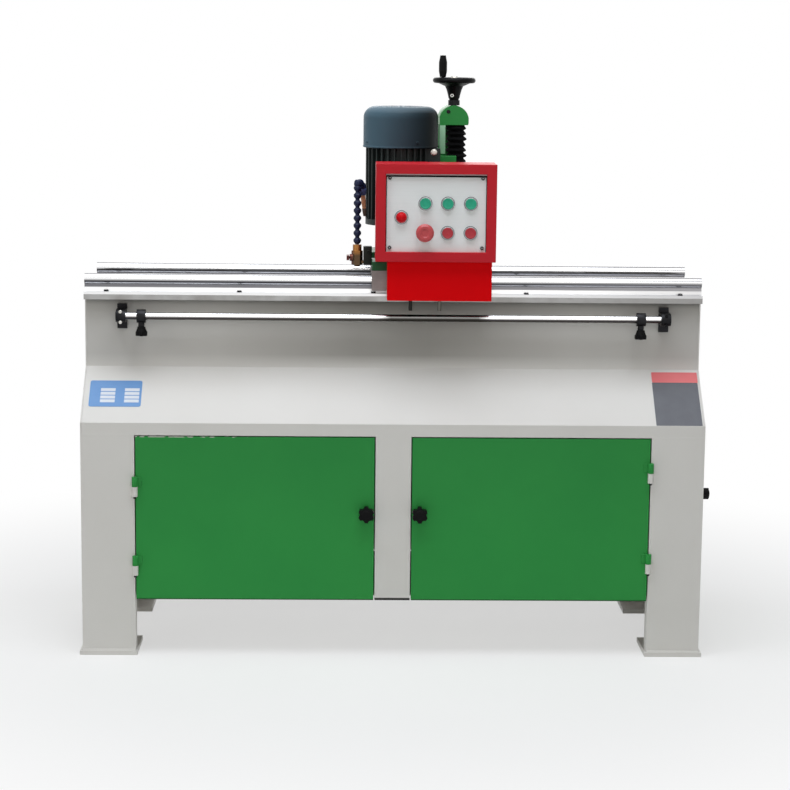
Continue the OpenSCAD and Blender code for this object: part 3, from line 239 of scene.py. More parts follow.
def weld_run(bm, points, radius, chance, half_ripple=1.5, sides=10):
    """Add a rippled bead along straight runs between points, in mm, with one ripple every 3 mm."""
    rings = []
    for start, end in zip(points, points[1:]):
        start, end = Vector(start), Vector(end)
        turn = (end - start).to_track_quat("Z", "Y").to_matrix()
        count = max(2, int((end - start).length / half_ripple))
        for step in range(count + 1):
            swell = radius * (1.0 if step % 2 else 0.86) * chance.uniform(0.92, 1.08)
            middle = start.lerp(end, step / count)
            rings.append([bm.verts.new((middle + turn @ Vector((math.cos(a), math.sin(a), 0)) * swell) * MM)
                          for a in (math.tau * k / sides for k in range(sides))])
    join_rings(bm, rings)
    bm.faces.new(rings[0][::-1])
    bm.faces.new(rings[-1])


chance = random.Random(11)
welds = bmesh.new()
plate_top = 10
for side in (-1, 1):
    for face in (-1, 1):
        front_run = (side * 581, face * 250, plate_top)
        corner = (side * 700, face * 250, plate_top)
        end_run = (side * 700, face * 131, plate_top)
        weld_run(welds, [front_run, corner, end_run], 3.6, chance)
piece("foot_welds", welds, "base", off_white, crease=60)

# Hinge pins: blacked steel pins of the six lift-off hinges, whose lower ends stand out under the painted
# barrels that are welded to the cabinet.
UPWARD = (0, 0, 1)


def turned(bm, at, axis, rings, sides=28):
    """Add a turned form: rings of (radius, height) or (radius, height, flats) in mm, along axis from at."""
    turn = Vector(UPWARD).rotation_difference(Vector(axis)).to_matrix()
    rows = []
    for radius, height, *flats in rings:
        row = []
        for k in range(sides if radius else 1):
            angle = math.tau * k / sides
            half = math.pi / flats[0] if flats else 0
            reach = radius * math.cos(half) / math.cos(angle % (2 * half) - half) if flats else radius
            spot = Vector((reach * math.cos(angle), reach * math.sin(angle), height))
            row.append(bm.verts.new((Vector(at) + turn @ spot) * MM))
        rows.append(row)
    join_rings(bm, rows)


def steel(name, colour, rough, grain, depth, darker):
    """Bare machined steel: the cutter leaves drawn lines along X, grain mm apart across it and forty times as
    long, and patches of handling stain 60 mm wide dull it."""
    made, tree, place = bare(name)
    lines = add(tree, "Mapping", {"Vector": place, "Scale": (1 / 40, 1, 1)})
    drawn = add(tree, "TexNoise", {"Vector": lines, "Scale": 1000 / grain, "Detail": 3.0})
    stain = add(tree, "TexNoise", {"Vector": place, "Scale": 1000 / 60, "Detail": 6.0})
    patch = add(tree, "MapRange", {"Value": stain, "From Min": 0.4, "From Max": 0.75})
    tone = add(tree, "MixRGB", {"Fac": patch, "Color1": linear(colour), "Color2": linear(darker)})
    dull = add(tree, "MapRange", {"Value": drawn, **NOISE_ENDS, "To Min": rough - 0.08,
                                  "To Max": rough + 0.08})
    soft = add(tree, "Bevel", {"Radius": 0.8 * MM}, samples=4)
    score = add(tree, "Bump", {"Height": drawn, "Strength": depth, "Distance": 0.1 * MM, "Normal": soft})
    skin = add(tree, "BsdfPrincipled", {"Base Color": tone, "Metallic": 1.0, "Roughness": dull,
                                        "Normal": score})
    add(tree, "OutputMaterial", {"Surface": skin})
    return made


# Black-oxided steel: the blacking bath leaves a dark satin skin that thins on rubbed edges.
blacked = steel("black_oxide_steel", "#2A2A2C", 0.42, 2.0, 0.06, "#1B1B1C")
pins = bmesh.new()
pin_end = [(0, 0), (2.6, 0), (3.4, 0.8), (3.4, 4.9), (5.0, 5.1), (0, 5.2)]
hinges = [(-578.75, -256.5, 208), (-578.75, -256.5, 389), (578.75, -256.5, 217), (578.75, -256.5, 426),
          (706.5, 188.75, 230), (706.5, 188.75, 430)]
for x, y, z in hinges:
    turned(pins, (x, y, z - 27), UPWARD, pin_end, sides=16)
piece("hinge_pins", pins, "base", blacked)

# Doors: 2 mm sheet folded into shallow pans and hung on weld-on barrels. Sprayed green enamel; the left one
# was knocked along its top edge, which shows pale primer. The green darkens a little towards the tops, and
# painted shade darkens the lower edges.
green = enamel("sprayed_green_enamel", "#399F4B", "#2E9145", 0.42, 0.12)
film_over(green, along(green, "Z", 250, 500, 0.0, 0.16), "#2B6038")
# Painted shade: a dark band along the doors' lower edges.
film_over(green, along(green, "Z", 132.2, 131.2, 0.0, 0.7), "#1C3A24")
tree = green.node_tree
place = add(tree, "TexCoord").outputs["Object"]
top_edge = add(tree, "Math", {0: along(green, "Z", 500.6, 501.3), 1: along(green, "Z", 504, 503.4)},
               operation="MULTIPLY")
knocks = add(tree, "TexNoise", {"Vector": place, "Scale": 1000 / 14, "Detail": 6.0})
struck = add(tree, "Math", {0: knocks, 1: along(green, "X", -240, -450, 0.26, 0.54)}, operation="LESS_THAN")
film_over(green, add(tree, "Math", {0: top_edge, 1: struck}, operation="MULTIPLY"), "#D5DBCD")
dress(green, "left_door", "right_door", "side_door", ease=0.9)

# Latch knobs: six-lobed hand knobs moulded in black phenolic round a steel spindle, each with a domed cap
# pressed into its face.
FRONTWARD = (0, -1, 0)
phenolic, tree, place = bare("moulded_black_phenolic")
# Black phenolic: polished by the mould, with faint 4 mm flow marks and a dusting of fine scratches.
flow = add(tree, "TexNoise", {"Vector": place, "Scale": 1000 / 4, "Detail": 5.0})
dull = add(tree, "MapRange", {"Value": flow, **NOISE_ENDS, "To Min": 0.26, "To Max": 0.46})
tone = add(tree, "MixRGB", {"Fac": flow, "Color1": linear("#070708"), "Color2": linear("#0E0E0F")})
soft = add(tree, "Bevel", {"Radius": 1.2 * MM}, samples=4)
mark = add(tree, "Bump", {"Height": flow, "Strength": 0.05, "Distance": 0.2 * MM, "Normal": soft})
skin = add(tree, "BsdfPrincipled", {"Base Color": tone, "Roughness": dull, "Specular IOR Level": 0.09,
                                    "Normal": mark})
add(tree, "OutputMaterial", {"Surface": skin})
dress(phenolic, "left_latch", "right_latch", "side_latch", ease=1.6)
dome = [(0, -1.5), (12.0, -1.5), (12.0, 0.3), (10.5, 1.4), (7.5, 1.9), (7.0, 1.5), (3.0, 1.9), (0, 2.0)]
for name, at, out, wide in (("left_latch", (-60, -275, 330), FRONTWARD, 1.0),
                            ("right_latch", (60, -275, 330), FRONTWARD, 1.0),
                            ("side_latch", (725, -170, 363), (1, 0, 0), 0.72)):
    cap = bmesh.new()
    turned(cap, at, out, [(radius * wide, height) for radius, height in dome])
    piece(name + "_cap", cap, name, phenolic)

# Plates on the shoulder: a lacquered blue data plate with blank white fields at the left, and a red strip
# over a dark grey plate at the right. Thin aluminium stuck to the enamel, printed and left without words.


def card(bm, across, rise, corner, low=0.0, high=0.6):
    """Add a thin plate on the slope: across and rise are its spans in mm, along the cabinet and up the slope,
    and low and high its two faces, in mm over the enamel."""
    foot = Vector((0, -250, 533))
    up_slope, off_slope = Vector((0, 122, 110)).normalized(), Vector((0, -110, 122)).normalized()
    left, right = across[0] + corner, across[1] - corner
    near, far = rise[0] + corner, rise[1] - corner
    steps = 5
    outline = []
    for x, y, first in ((right, far, 0), (left, far, 90), (left, near, 180), (right, near, 270)):
        for k in range(steps + 1):
            angle = math.radians(first + 90 * k / steps)
            outline.append((x + corner * math.cos(angle), y + corner * math.sin(angle)))
    faces = [[bm.verts.new((foot + Vector((x, 0, 0)) + up_slope * y + off_slope * height) * MM)
              for x, y in outline] for height in (low, high)]
    join_rings(bm, faces)
    bm.faces.new(faces[0][::-1])
    bm.faces.new(faces[1])


def lacquer(name, colour, drift, rough):
    """Lacquered printing on thin aluminium: even, with 30 mm clouding and a fine 1.5 mm roller texture."""
    made, tree, place = bare(name)
    cloud = add(tree, "TexNoise", {"Vector": place, "Scale": 1000 / 30, "Detail": 4.0})
    tone = add(tree, "MixRGB", {"Fac": cloud, "Color1": linear(colour), "Color2": linear(drift)})
    roller = add(tree, "TexNoise", {"Vector": place, "Scale": 1000 / 1.5, "Detail": 1.0})
    grain = add(tree, "Bump", {"Height": roller, "Strength": 0.08, "Distance": 0.1 * MM})
    skin = add(tree, "BsdfPrincipled", {"Base Color": tone, "Roughness": rough, "Specular IOR Level": 0.3,
                                        "Normal": grain})
    add(tree, "OutputMaterial", {"Surface": skin})
    return made


data = bmesh.new()
card(data, (-685, -568), (46, 121), corner=5)
piece("data_plate", data, "base", lacquer("blue_lacquered_plate", "#6B9DD5", "#5C90CB", 0.35))
fields = bmesh.new()
field_pitch = 10.8
for row in range(4):
    for start in (-660, -606):
        lift = field_pitch * row
        card(fields, (start, start + 33), (58 + lift, 66.4 + lift), corner=1, low=0.5, high=0.75)
piece("data_fields", fields, "base", lacquer("white_printed_field", "#E6EAF0", "#D9DFE8", 0.4))
strip = bmesh.new()
card(strip, (590, 694.5), (126, 156), corner=1.5)
piece("red_strip", strip, "base", lacquer("red_lacquered_strip", "#F27F80", "#EA7577", 0.4))
notice = bmesh.new()
card(notice, (589.5, 693.5), (1.5, 125.5), corner=1.5)
grey_lacquer = lacquer("grey_lacquered_plate", "#606268", "#6E7076", 0.45)
piece("grey_plate", notice, "base", grey_lacquer)

# Bed: two long milled steel plates on the waist, and the hardened gear rack that is screwed to the front one;
# the pinion under the carriage rolls along it.
# Milled steel: grey with 2 mm feed lines, coarser than the real 0.3 mm ones so that they show.
milled = steel("milled_steel", "#A8A8A7", 0.36, 2.0, 0.12, "#868480")
dress(milled, "gear_rack", "drive_pinion")
# The same steel, which a film of old oil dulls towards the right end of the bed.
bed_steel = steel("milled_bed_steel", "#A8A8A7", 0.36, 2.0, 0.12, "#868480")
film_over(bed_steel, along(bed_steel, "X", 100, 650, 0.0, 0.5), "#7E7C7A")
dress(bed_steel, "bed_plates")

# Guide rails: 25 mm chromed shafts on extruded aluminium supports, which socket screws with washers hold down
# to the bed plates. Towards the right, where the carriage seldom runs, their shine has gone dull.
rail_alloy, tree, place = bare("extruded_aluminium")
# Extruded aluminium: bright and satin, with die lines along its length drawn 1.5 mm apart so that they show,
# and painted shade, a grey band on the neck under the shaft.
lines = add(tree, "Mapping", {"Vector": place, "Scale": (1 / 80, 1, 1)})
die = add(tree, "TexNoise", {"Vector": lines, "Scale": 1000 / 1.5, "Detail": 2.0})
dull = add(tree, "MapRange", {"Value": die, **NOISE_ENDS, "To Min": 0.32, "To Max": 0.48})
tone = add(tree, "MixRGB", {"Fac": die, "Color1": linear("#F0F0F0"), "Color2": linear("#E2E3E4")})
groove = add(tree, "Bump", {"Height": die, "Strength": 0.08, "Distance": 0.1 * MM})
skin = add(tree, "BsdfPrincipled", {"Base Color": tone, "Metallic": 1.0, "Roughness": dull, "Normal": groove})
add(tree, "OutputMaterial", {"Surface": skin})
film_over(rail_alloy, along(rail_alloy, "Z", 823.5, 825.5), "#6E6E72")
film_over(rail_alloy, along(rail_alloy, "X", 150, 700, 0.0, 0.55), "#A5A4A6")
dress(rail_alloy, "rail_supports")


def chromed(name, low, high, film):
    """Hard chrome: mirror-like, with the 1 mm rings that centreless grinding leaves round the shaft. Between
    two heights in mm its colour runs through bands of painted reflection and shade, darkest along the
    belly: (share of the height, colour)."""
    made, tree, place = bare(name)
    lines = add(tree, "Mapping", {"Vector": place, "Scale": (1, 1 / 30, 1 / 30)})
    ring = add(tree, "TexNoise", {"Vector": lines, "Scale": 1000 / 1.0, "Detail": 2.0})
    dull = add(tree, "MapRange", {"Value": ring, **NOISE_ENDS, "To Min": 0.1, "To Max": 0.22})
    tone = add(tree, "ValToRGB", {0: along(made, "Z", low, high)})
    stops = tone.color_ramp.elements
    stops[0].color, stops[-1].color = linear(film[0][1]), linear(film[-1][1])
    for at, colour in film[1:-1]:
        stops.new(at).color = linear(colour)
    skin = add(tree, "BsdfPrincipled", {"Base Color": tone, "Metallic": 1.0, "Roughness": dull})
    add(tree, "OutputMaterial", {"Surface": skin})
    return made


# Painted reflections on the rails: grey bands at the top and bottom, a dark band along the belly and bright
# chrome between.
clean, grey, belly = "#F5F5F6", "#ABABAE", "#2F2E31"
rail_painted_reflections = [(0, grey), (0.12, grey), (0.27, belly), (0.36, belly), (0.58, clean), (0.7, clean), (1, grey)]
rail_chrome = chromed("hard_chromed_rail", 829.5, 854.5, rail_painted_reflections)
film_over(rail_chrome, along(rail_chrome, "X", 150, 700, 0.0, 0.5), "#8E8D90")
dress(rail_chrome, "rail_shafts")


def cap_screw(bm, at, axis, radius, height):
    """Add a socket screw head with its hexagon socket."""
    key = radius * 0.62
    head = [(0, -0.3), (radius, -0.3), (radius, height - 0.7), (radius - 0.7, height), (key, height),
            (key * 0.97, height, 6), (key * 0.97, height * 0.4, 6), (0, height * 0.35)]
    turned(bm, at, axis, head, sides=24)


bolts = bmesh.new()
washer = [(0, 0), (5.9, 0), (5.9, 0.6), (5.5, 0.9), (0, 0.9)]
flange_top = 816
for x in (-650, -350, -47, 300, 650):
    for y in (-144, -106, 106, 144):
        turned(bolts, (x, y, flange_top), UPWARD, washer, sides=24)
        cap_screw(bolts, (x, y, flange_top), UPWARD, 5.1, 4.2)
piece("rail_screws", bolts, "base", blacked)

# Stop rod gear: blacked steel brackets hold a chromed rod in front of the waist, and two clamped dogs on it
# turn the carriage round through the sensors under the apron. Phenolic knobs clamp the dogs.
# Painted shade and reflection on the rod: a dark band along its lower side and a grey band along its top.
rod_painted_shade_and_reflections = [(0, "#6E6864"), (0.3, belly), (0.42, "#77716E"), (0.54, clean), (0.9, clean), (1, grey)]
rod_chrome = chromed("hard_chromed_rod", 755, 771, rod_painted_shade_and_reflections)
# Painted shade and reflection: the middle of the rod, under the parked carriage's apron, is dark.
apron_shade_on_rod = add(rod_chrome.node_tree, "Math", {0: along(rod_chrome, "X", -40, -8, 0.0, 0.85),
                                            1: along(rod_chrome, "X", 222, 190, 0.0, 0.85)},
             operation="MINIMUM")
film_over(rod_chrome, apron_shade_on_rod, "#2B2923")
dress(rod_chrome, "stop_rod")
dress(blacked, "rod_brackets", "left_dog", "right_dog", ease=1.0)
# Nickel-plated brass: the sensors' barrels, of which oil has blackened the left one.
nickel = steel("nickel_plated_brass", "#686660", 0.42, 1.0, 0.04, "#5A5852")
film_over(nickel, along(nickel, "X", 80, 60), "#2C2B29")
dress(nickel, "stop_sensors", ease=1.0)
dress(phenolic, "left_dog_knob", "right_dog_knob", ease=1.4)
knob_flare = [(8.3, 0.2), (9.0, 0.2), (9.6, 3.5), (10.8, 7.0), (12.4, 11.1), (8.3, 11.1), (8.3, 0.2)]
rod_y, knob_top = -168, 738.7
for name, x in (("left_dog_knob", -569), ("right_dog_knob", 559)):
    skirt = bmesh.new()
    turned(skirt, (x, rod_y, knob_top), (0, 0, -1), knob_flare, sides=36)
    piece(name + "_skirt", skirt, name, phenolic)
# Zinc-plated steel: pale and bright, a little warm where the passivation shows.
zinc = steel("zinc_plated_screw", "#D2D1CC", 0.26, 1.0, 0.04, "#B9B6AC")
bracket_face = -177
for name, x, slot, finish in (("left_bracket_screws", -615, "machined_steel", zinc),
                              ("right_bracket_screws", 615, "black_metal", blacked)):
    rod_screws = bmesh.new()
    for z in (773.5, 750):
        cap_screw(rod_screws, (x, bracket_face, z), FRONTWARD, 3.8, 5.2)
    piece(name, rod_screws, "base", finish)

# Knife table: a milled bar that tilts on trunnions in the trough, with a clamp strip and its fourteen screws,
# locked by a lever at the left end.
dress(milled, "knife_bar", "clamp_strip", ease=0.6)
dress(phenolic, "tilt_lock", ease=1.0)
tilt = math.radians(40)
across, off_bar = Vector((0, math.cos(tilt), math.sin(tilt))), Vector((0, -math.sin(tilt), math.cos(tilt)))
strip_screws = bmesh.new()
strip_left, screw_pitch = -600, 75
for k in range(14):
    trunnion = Vector((strip_left + (k + 0.5) * screw_pitch, 15, 770))
    cap_screw(strip_screws, trunnion - across * 6 + off_bar * 25, off_bar, 6.7, 5.3)
piece("strip_screws", strip_screws, "knife_table", blacked)

# Coolant tank and pump: a painted sheet tank on the cabinet floor and a cast pump that stands in it, both
# behind the left door. The casting's enamel is rubbed through to grey primer along its edges.
dress(enamel("sprayed_blue_grey_enamel", "#5A6B72", "#4E5E65", 0.45, 0.3), "coolant_tank", ease=0.8)
cast_grey = enamel("painted_grey_casting", "#4B5960", "#3E4B52", 0.48, 0.3, primer="#8D9497")
dress(cast_grey, "coolant_pump", ease=0.7)

# Carriage: a dark green plate bolted on four cast pillow blocks that slide on the shafts. The column on it,
# its cap and the head's slide are iron castings in a brighter green.
machine_green = enamel("sprayed_machine_green", "#2A9642", "#1F8338", 0.36, 0.3, primer="#9FA79C")
dress(machine_green, "column", "column_cap", "head_slide", ease=1.2)
dark_green = enamel("sprayed_dark_green", "#235A32", "#1B4A29", 0.42, 0.2, primer="#7E8A7C")
dress(dark_green, "carriage_plate", ease=1.2)
# Die-cast alloy: a dull warm grey, with a coarse 3 mm grain and stains of oil.
block_alloy = steel("die_cast_alloy", "#837B79", 0.5, 3.0, 0.1, "#665E5C")
dress(block_alloy, "pillow_blocks", ease=0.8)
plate_screws = bmesh.new()
carriage_top = 889
for x in (-35, 0, 165, 200):
    for y in (-148, 148):
        cap_screw(plate_screws, (x, y, carriage_top), UPWARD, 5.0, 4.0)
piece("plate_screws", plate_screws, "carriage", blacked)

# Motor: a cast finned housing, painted almost black, under a pressed fan cover in blue-grey enamel,
# flange-mounted on the slide with its shaft down. The cover's screws and one bright bolt show at the front,
# and the lid of the terminal box with its cable gland at the back.
motor_x = 15
motor_dark = enamel("painted_motor_casting", "#2C3433", "#212928", 0.5, 0.25)
dress(motor_dark, "motor_housing")
cover_blue = enamel("sprayed_cover_enamel", "#5C7786", "#506977", 0.42, 0.07)
# Painted shade: the cover darkens towards the column, on its right side. It is also paler along its top.
film_over(cover_blue, along(cover_blue, "X", -80, 82), "#0C1415")
film_over(cover_blue, along(cover_blue, "Z", 1218, 1232, 0.0, 0.4), "#8FA2AC")
dress(cover_blue, "fan_cover")
lip = bmesh.new()
rolled = [(84.5, 0.2), (85.6, -0.4), (86.9, 0.6), (87.2, 2.2), (86.6, 3.8), (85.8, 4.4), (84.5, 4.0),
          (84.5, 0.2)]
turned(lip, (motor_x, 0, 1139), UPWARD, rolled, sides=96)
piece("cover_lip", lip, "head", cover_blue, crease=60)
cover_screws = bmesh.new()
pan_head = [(0, 0), (4.2, 0), (4.0, 1.4), (2.8, 2.2), (1.7, 2.3), (1.5, 2.3, 4), (1.2, 1.2, 4), (0, 1.2)]
for angle in (25, 115, 205, 295):
    out = Vector((math.cos(math.radians(angle)), math.sin(math.radians(angle)), 0))
    turned(cover_screws, Vector((motor_x, 0, 1152)) + out * 85.6, out, pan_head, sides=20)
piece("cover_screws", cover_screws, "head", cover_blue)
bolt = bmesh.new()
hex_head = [(0, -1), (7.4, -1), (7.4, 1.2), (6.4, 1.4), (6.1, 1.4, 6), (6.1, 5.2, 6), (5.0, 6.0), (0, 6.2)]
turned(bolt, (90, -46, 1129.5), FRONTWARD, hex_head, sides=24)
piece("lug_bolt", bolt, "head", zinc)
lid = bmesh.new()
lid_face = 123
slab(lid, (-27, 116, 1010), (57, lid_face, 1094), 2.0)
for x in (-20, 50):
    for z in (1017, 1087):
        cap_screw(lid, (x, lid_face, z), (0, 1, 0), 3.6, 2.4)
gland = [(0, -2), (13, -2, 6), (13, 6, 6), (11, 6), (11, 15), (9, 17), (6, 17), (6, 10), (0, 10)]
turned(lid, (motor_x + 40, 100, 1052), (1, 0, 0), gland)
piece("terminal_lid", lid, "head", motor_dark)

# Spindle and wheel: a ground steel spindle with a nut, and on its lower end a cup wheel of grey vitrified
# grit, which a flange clamps to it.
dress(milled, "motor_spindle")
grit, tree, place = bare("vitrified_grit")
# Vitrified abrasive: open and matt, a mass of 1.5 mm grains, coarser than the real 0.4 mm so that they show.
grains = add(tree, "TexVoronoi", {"Vector": place, "Scale": 1000 / 1.5}).outputs["Distance"]
tone = add(tree, "MixRGB", {"Fac": grains, "Color1": linear("#A6A9AE"), "Color2": linear("#74777C")})
pits = add(tree, "Bump", {"Height": grains, "Strength": 0.5, "Distance": 0.4 * MM})
skin = add(tree, "BsdfPrincipled", {"Base Color": tone, "Roughness": 0.9, "Normal": pits})
add(tree, "OutputMaterial", {"Surface": skin})
dress(grit, "cup_wheel")

# Column cap oiler: a ball oiler of blacked steel, pressed into the front of the cap, through which oil
# reaches the feed screw's bearing.
oiler = bmesh.new()
ball_seat = [(0, -1), (4.6, -1), (4.6, 0.6), (4.0, 1.2), (2.8, 1.2), (2.6, 0.2), (1.4, 0.5), (0, 0.9)]
turned(oiler, (127.5, 66, 1219), FRONTWARD, ball_seat, sides=20)
piece("cap_oiler", oiler, "carriage", blacked)

# Way guard: a strip that hangs from the cap in front of the slide's way. Its pale green is a painted
# highlight, standing in for the light that its face catches.
guard = bmesh.new()
slab(guard, (107.3, 65.2, 1121), (120.8, 66.2, 1187), 0.3)
pale_green_highlight = enamel("pale_green_enamel_painted_highlight", "#9BD2A8", "#AEDDB8", 0.34, 0.3)
piece("guard_face", guard, "carriage", pale_green_highlight)

# Feed screw and handwheel: a steel screw turned by a dished phenolic handwheel with a revolving grip. A
# bright grub screw holds the hub, a nut and washer its top, and a cap the grip on its pin.
screw_x, screw_y = 141, 90
dress(blacked, "lead_screw")
dress(phenolic, "handwheel", "wheel_grip")
skirt = bmesh.new()
hub_flare = [(11.2, 0), (12.6, 0), (13.0, 1.5), (14.6, 9), (18, 21), (22.5, 31), (23, 33), (21, 34),
             (11.2, 34), (11.2, 0)]
turned(skirt, (screw_x, screw_y, 1249), UPWARD, hub_flare, sides=48)
piece("hub_skirt", skirt, "feed_screw", phenolic)
fixings = bmesh.new()
side = Vector((-0.35, -0.94, 0)).normalized()
grub = [(0, 0), (4.4, 0), (4.4, 2.2), (3.8, 2.8), (2.2, 2.8), (2.1, 2.8, 6), (2.1, 0.8, 6), (0, 0.8)]
turned(fixings, Vector((screw_x, screw_y, 1256)) + side * 12.8, side, grub, sides=24)
top_nut = [(0, -4), (11.5, -4), (11.5, 3), (8.0, 3), (7.8, 3, 6), (7.8, 8, 6), (6.6, 8.8), (0, 9.2)]
turned(fixings, (screw_x, screw_y, 1292.5), UPWARD, top_nut, sides=24)
pin_cap = [(0, -1), (4.6, -1), (4.6, 0.0), (3.6, 0.7), (0, 0.9)]
turned(fixings, (113, 62, 1348.3), UPWARD, pin_cap, sides=20)
piece("wheel_fixings", fixings, "feed_screw", zinc)

# Bellows: a sewn tube of rubber-coated cloth folded into eight pleats round the feed screw, cuffed at both
# ends and held by bands. The tube is made at one fixed length; its cuffs ride on the carriage and the head.
rubber, tree, place = bare("rubber_coated_cloth")
# Rubber-coated cloth: matt black, with the 1.2 mm weave showing through and grey dust along the ridges.
weave = add(tree, "TexNoise", {"Vector": place, "Scale": 1000 / 1.2, "Detail": 2.0})
dust = add(tree, "TexNoise", {"Vector": place, "Scale": 1000 / 18, "Detail": 6.0})
film = add(tree, "MapRange", {"Value": dust, "From Min": 0.5, "From Max": 0.8})
tone = add(tree, "MixRGB", {"Fac": film, "Color1": linear("#070708"), "Color2": linear("#171718")})
cloth = add(tree, "Bump", {"Height": weave, "Strength": 0.35, "Distance": 0.2 * MM})
skin = add(tree, "BsdfPrincipled", {"Base Color": tone, "Roughness": 0.85, "Specular IOR Level": 0.08,
                                    "Normal": cloth})
add(tree, "OutputMaterial", {"Surface": skin})
tube_x, tube_y, tube_foot, tube_height = 147, 90, 1085, 103
pleats, steps, sides = 8, 10, 64
chance = random.Random(5)
# Each pleat is sewn a little off: its shift to the side and back, its swell, and where its rim waves.
wander = [(chance.uniform(-0.9, 0.9), chance.uniform(-0.9, 0.9), chance.uniform(-1.3, 0.4),
           chance.uniform(0, 6.3)) for _ in range(pleats + 1)]
rows = []
tube = bmesh.new()
last_row = pleats * steps
for n in range(last_row + 1):
    pleat, part = divmod(n, steps)
    dx, dy, swell, lean = wander[pleat]
    sharp = (0.5 - 0.5 * math.cos(math.tau * part / steps)) ** 0.75
    height = tube_foot + tube_height * n / last_row - 1.6 * sharp * (0 < n < last_row)
    row = []
    for k in range(sides):
        angle = math.tau * k / sides
        ragged = 0.5 * math.sin(3 * angle + lean) + 0.35 * math.sin(7 * angle + 2 * lean)
        reach = 18.0 + (6.2 + 0.5 * swell + 0.55 * ragged) * sharp
        row.append(tube.verts.new(Vector((tube_x + dx * sharp + reach * math.cos(angle),
                                          tube_y + dy * sharp + reach * math.sin(angle),
                                          height + 0.7 * sharp * ragged)) * MM))
    rows.append(row)
join_rings(tube, rows)
bellows = shaped("bellows_tube", tube, rubber, crease=180)
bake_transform(bellows)
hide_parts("bellows")
band = [(18.4, 0.1), (20.4, 0.1), (20.6, 1.6), (19.9, 2.0), (19.9, 4.4), (20.6, 4.8), (20.4, 6.0),
        (18.4, 6.0), (18.4, 0.1)]
for name, body, z in (("upper_cuff", "carriage", 1182), ("lower_cuff", "head", 1085)):
    cuff = bmesh.new()
    turned(cuff, (tube_x, tube_y, z), UPWARD, band, sides=48)
    piece(name, cuff, body, rubber)

# Carriage drive: a worm gearmotor that stands behind the control box, a finned motor on a square gearbox that
# four screws hold. Cast and painted like the pump, with a pressed cap over its fan.
dress(cast_grey, "drive_gearmotor", ease=0.8)
drive = bmesh.new()
gearbox_top = 959
for x in (122, 198):
    for y in (-83, -7):
        cap_screw(drive, (x, y, gearbox_top), UPWARD, 4.6, 4.6)
fan_cap = [(0, -14), (43, -14), (43.6, -12), (43.6, -3), (41, 3), (34, 5.5), (14, 6.5), (12, 5.0), (0, 5.0)]
turned(drive, (160, -45, 1085), UPWARD, fan_cap, sides=64)
piece("drive_cap", drive, "carriage", cast_grey)

# Coolant fittings: a brass cock on a black lug of the carriage, and a hose of blue ball-and-socket segments
# ending in an orange nozzle. The segments snap together, so the chain stays where it is bent.
brass = steel("cast_brass", "#96683A", 0.42, 3.0, 0.1, "#5C3F26")
# Drips have tarnished the cock's lower half, and red-brown vinyl has run from the lever on to its gland.
film_over(brass, along(brass, "Z", 906, 897), "#5A4836")
film_over(brass, along(brass, "X", -93, -95), "#5E3B34")
dress(brass, "coolant_valve", ease=0.7)
# Dipped vinyl, like the nozzle's acetals below, has the slow drift and fine ripple of the enamel.
dress(enamel("dipped_red_brown_vinyl", "#6B2A22", "#55201B", 0.5, 0.3), "valve_lever", ease=0.7)
lug = bmesh.new()
slab(lug, (-70, -107.5, 876), (-50.5, -82.5, 918), 2.0)
cap_screw(lug, (-58, -107.5, 906), FRONTWARD, 4.0, 3.0)
lug_black = enamel("sprayed_black_enamel", "#171A12", "#10130D", 0.45, 0.2)
piece("valve_lug", lug, "carriage", lug_black)
acetal, tree, place = bare("moulded_blue_acetal")
# Blue acetal: waxy and dark, with faint 5 mm mould clouding.
cloud = add(tree, "TexNoise", {"Vector": place, "Scale": 1000 / 5, "Detail": 3.0})
tone = add(tree, "MixRGB", {"Fac": cloud, "Color1": linear("#1B2549"), "Color2": linear("#121831")})
dull = add(tree, "MapRange", {"Value": cloud, "To Min": 0.28, "To Max": 0.46})
skin = add(tree, "BsdfPrincipled", {"Base Color": tone, "Roughness": dull, "Specular IOR Level": 0.2})
add(tree, "OutputMaterial", {"Surface": skin})
hose_x, hose_y, segment_pitch = -84, -95, 17
chain = bmesh.new()
segment = [(3.4, -8.5), (4.8, -8.5), (4.9, -7.4), (7.2, -4.8), (8.8, -2.0), (9.0, -0.4), (8.7, 0.2),
           (8.7, 0.8), (9.0, 1.4), (8.6, 2.6), (6.6, 4.8), (4.9, 6.6), (4.8, 8.5), (3.4, 8.5), (3.4, -8.5)]
for k in range(8):
    turned(chain, (hose_x, hose_y, 931 + segment_pitch * k), UPWARD, segment, sides=32)
elbow = [(3.4, -8.5), (6.4, -8.5), (8.4, -6.4), (9.6, -3.0), (9.8, 0.0), (9.6, 3.0), (8.4, 6.0), (6.2, 7.2),
         (3.4, 7.2), (3.4, -8.5)]
# On top the chain bends right over in two elbows, on a radius of 10 mm, so that the nozzle points down.
bend_foot, bend_radius, bend_step = Vector((hose_x, hose_y, 1050)), 10, 84
swing = Matrix.Rotation(math.radians(60), 3, "Z")
for k in (1, 2):
    angle = math.radians(bend_step * k)
    spot = Vector((bend_radius - bend_radius * math.cos(angle), 0, bend_radius * math.sin(angle)))
    heading = swing @ Vector((math.sin(angle), 0, math.cos(angle)))
    turned(chain, bend_foot + swing @ spot, heading, elbow, sides=32)
turned(chain, (-82.5, -93.5, 1060.5), (0.2, 0.3, 1), elbow, sides=32)
hose = piece("hose_segments", chain, "hose", acetal)
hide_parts("coolant_hose")
last = bend_foot + swing @ spot
socket = bmesh.new()
cup = [(6.6, 4), (9.9, 4), (10.2, 7), (9.6, 11), (8.4, 17), (7.4, 19), (6.6, 19), (6.6, 4)]
turned(socket, last, heading, cup, sides=32)
